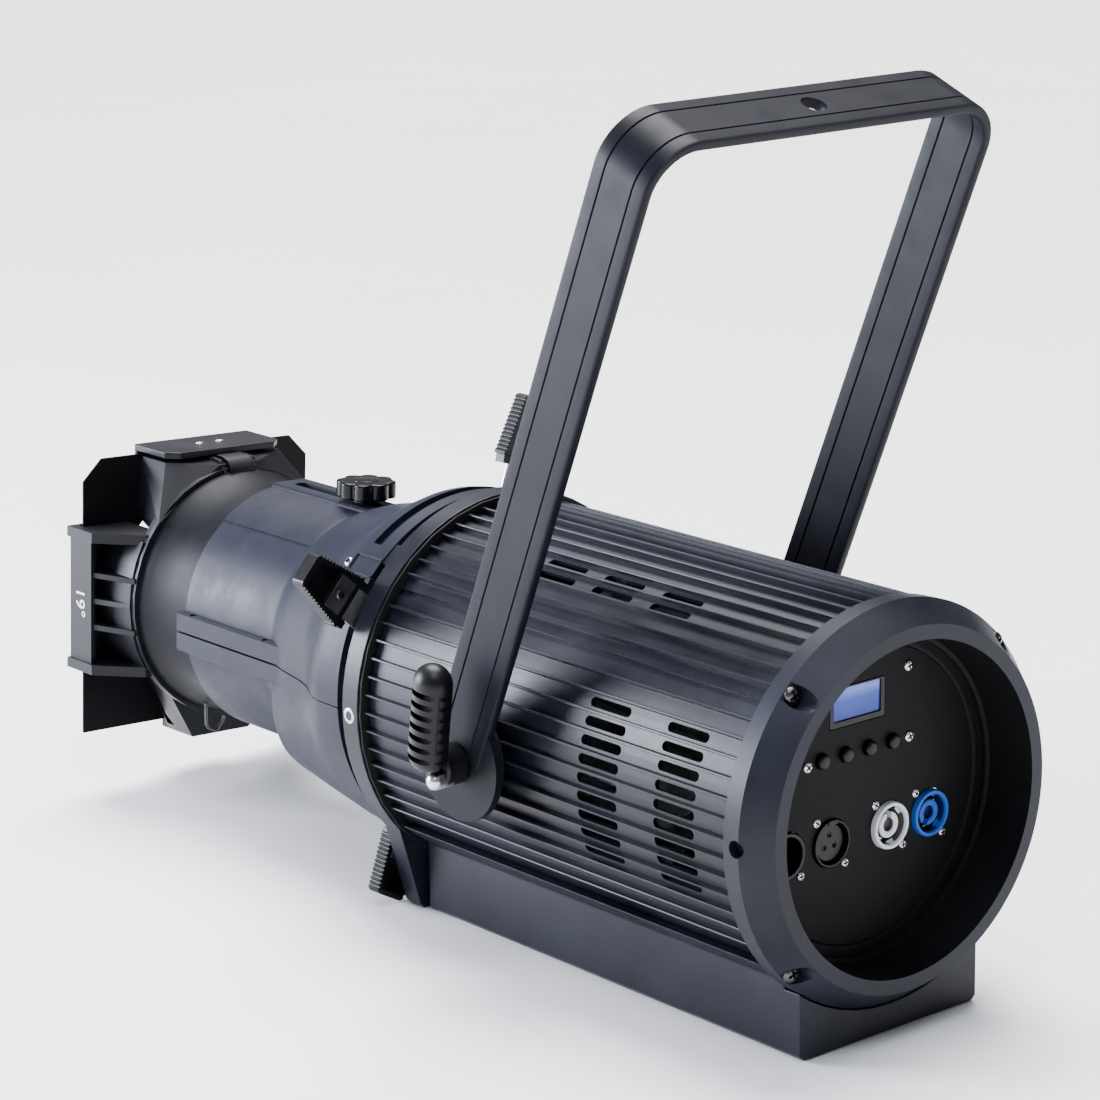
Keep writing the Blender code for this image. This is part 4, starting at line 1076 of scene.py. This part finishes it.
def beam_angle_mark():
    """The number of degrees that the lens tube spreads the light, printed on the holder's side."""
    text = bpy.data.curves.new("beam_angle_mark", "FONT")
    text.body = "19\N{DEGREE SIGN}"
    text.size = 12.5 * MM
    text.extrude = 0.05 * MM
    text.align_x = "CENTER"
    text.align_y = "CENTER"
    obj = linked("beam_angle_mark", text)
    obj.matrix_world = at(*MARK_SPOT, BARREL) @ Matrix.Rotation(pi / 2, 4, "Y")
    text.materials.append(WHITE_PRINT)
    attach(obj, "lens_tube")


def focus_knob():
    """An eight-lobed knob with a domed top on a stepped collar."""
    outline = []
    for step in range(96):
        angle = 2 * pi * step / 96
        lobe = abs(cos(4 * angle)) ** 0.75
        radius = 13.7 + 2.9 * lobe
        outline.append((radius * cos(angle), radius * sin(angle)))
    place = at(0, KNOB_Y, 0, BARREL)
    stud = cylinder(3.5, 64.5, 80, "z", 32)
    collar = cylinder(7.6, 73.7, 78, "z", 48)
    cap = domed([(0, 86.4), (6.0, 86.4), (7.2, 86.0), (7.6, 85.0), (0, 85.0)], 48, "z")
    piece("knob_body", "focus_knob", [prism(outline, 76.4, 85.8, "z")], GLOSS_BLACK, place, 1.2,
          replaces=("focus_knob",), segments=4, angle=50)
    piece("knob_stem", "focus_knob", [collar], GLOSS_BLACK, place, 0.3, unions=[[stud]])
    piece("knob_cap", "focus_knob", [cap], GLOSS_BLACK, place)


# Inside the housing


def inner_pieces():
    for node, name, surface, edge in (
        ("heat_sink", "finned_heat_sink", ALUMINIUM, 0.15),
        ("led_board", "light_board", GREEN, 0.1),
        ("lens_holder", "optics_holder", SHEET_BLACK, 0.3),
        ("condenser_lens", "condenser_glass", GLASS, 0.0),
        ("field_lens", "field_glass", GLASS, 0.0),
        ("fan_frame", "cooling_fan_frame", BLACK, 0.3),
        ("fan_rotor", "cooling_fan_rotor", BLACK, 0.1),
        ("power_supply", "power_supply_case", CASE, 0.5),
        ("driver_board", "driver_circuit", GREEN, 0.1),
        ("display_board", "display_circuit", GREEN, 0.1),
    ):
        refined(node, name, surface, edge)


# Floor, light and camera

CAMERA_PLACE = Vector((1174.2, 1125.7, 549.7)) * MM
CAMERA_TURN = 139.784
CAMERA_RISE = 14.565
CAMERA_ROLL = -0.736
CAMERA_LENS = 118.17
CAMERA_SENSOR = 36.0
FLOOR_SIZE = 9.0
FLOOR_Z = -0.0005
SKY = (0.88, 0.92, 1.0, 1)
SKY_STRENGTH = 0.3
OVERHEAD_STRENGTH = 10.0
OVERHEAD_ANGLE = 40
OVERHEAD_FROM = (-0.25, -0.35, 1.0)
LIGHT_TARGET = (0, -0.15, 0.12)


def stage():
    body = bmesh.new()
    bmesh.ops.create_grid(body, x_segments=8, y_segments=8, size=FLOOR_SIZE)
    mesh = bpy.data.meshes.new("floor")
    body.to_mesh(mesh)
    body.free()
    floor = linked("floor", mesh)
    floor.location.z = FLOOR_Z
    mesh.materials.append(pale_floor("pale_floor"))


def softbox(name, spot, width, height, power, colour):
    light = bpy.data.lights.new(name, "AREA")
    light.shape = "RECTANGLE"
    light.size, light.size_y = width, height
    light.energy = power
    light.color = colour
    obj = linked(name, light)
    obj.location = spot
    obj.rotation_euler = (Vector(LIGHT_TARGET) - Vector(spot)).to_track_quat("-Z", "Y").to_euler()


def lights():
    world = bpy.data.worlds.new("pale_surroundings")
    bpy.context.scene.world = world
    world.use_nodes = True
    background = world.node_tree.nodes["Background"]
    background.inputs["Color"].default_value = SKY
    background.inputs["Strength"].default_value = SKY_STRENGTH
    sun = bpy.data.lights.new("overhead_light", "SUN")
    sun.energy = OVERHEAD_STRENGTH
    sun.angle = radians(OVERHEAD_ANGLE)
    obj = linked("overhead_light", sun)
    obj.rotation_euler = Vector(OVERHEAD_FROM).to_track_quat("Z", "Y").to_euler()
    softbox("key_light", (1.25, -1.65, 0.55), 0.9, 0.7, 120, (0.84, 0.88, 1.0))
    softbox("top_light", (0.7, 0.5, 1.9), 1.0, 1.0, 30, (0.86, 0.9, 1.0))


def camera():
    turn, rise, roll = radians(CAMERA_TURN), radians(CAMERA_RISE), radians(CAMERA_ROLL)
    back = Vector((sin(turn) * cos(rise), -cos(turn) * cos(rise), sin(rise)))
    right = Vector((0, 0, 1)).cross(back).normalized()
    up = back.cross(right)
    image_right = right * cos(roll) + up * sin(roll)
    image_up = up * cos(roll) - right * sin(roll)
    data = bpy.data.cameras.new("camera")
    data.lens = CAMERA_LENS
    data.sensor_width = CAMERA_SENSOR
    data.clip_end = 50.0
    obj = linked("camera", data)
    turn_matrix = Matrix((image_right, image_up, back)).transposed().to_4x4()
    obj.matrix_world = Matrix.Translation(LAMP.translation + CAMERA_PLACE) @ turn_matrix
    bpy.context.scene.camera = obj


def main():
    rear_bezel()
    rear_panel()
    data_sockets()
    power_sockets()
    housing_shell()
    base_and_end()
    pivots()
    yoke()
    barrel()
    barrel_trim()
    shutters()
    lens_tube()
    accessory_holder()
    beam_angle_mark()
    focus_knob()
    inner_pieces()
    stage()
    lights()
    camera()


main()
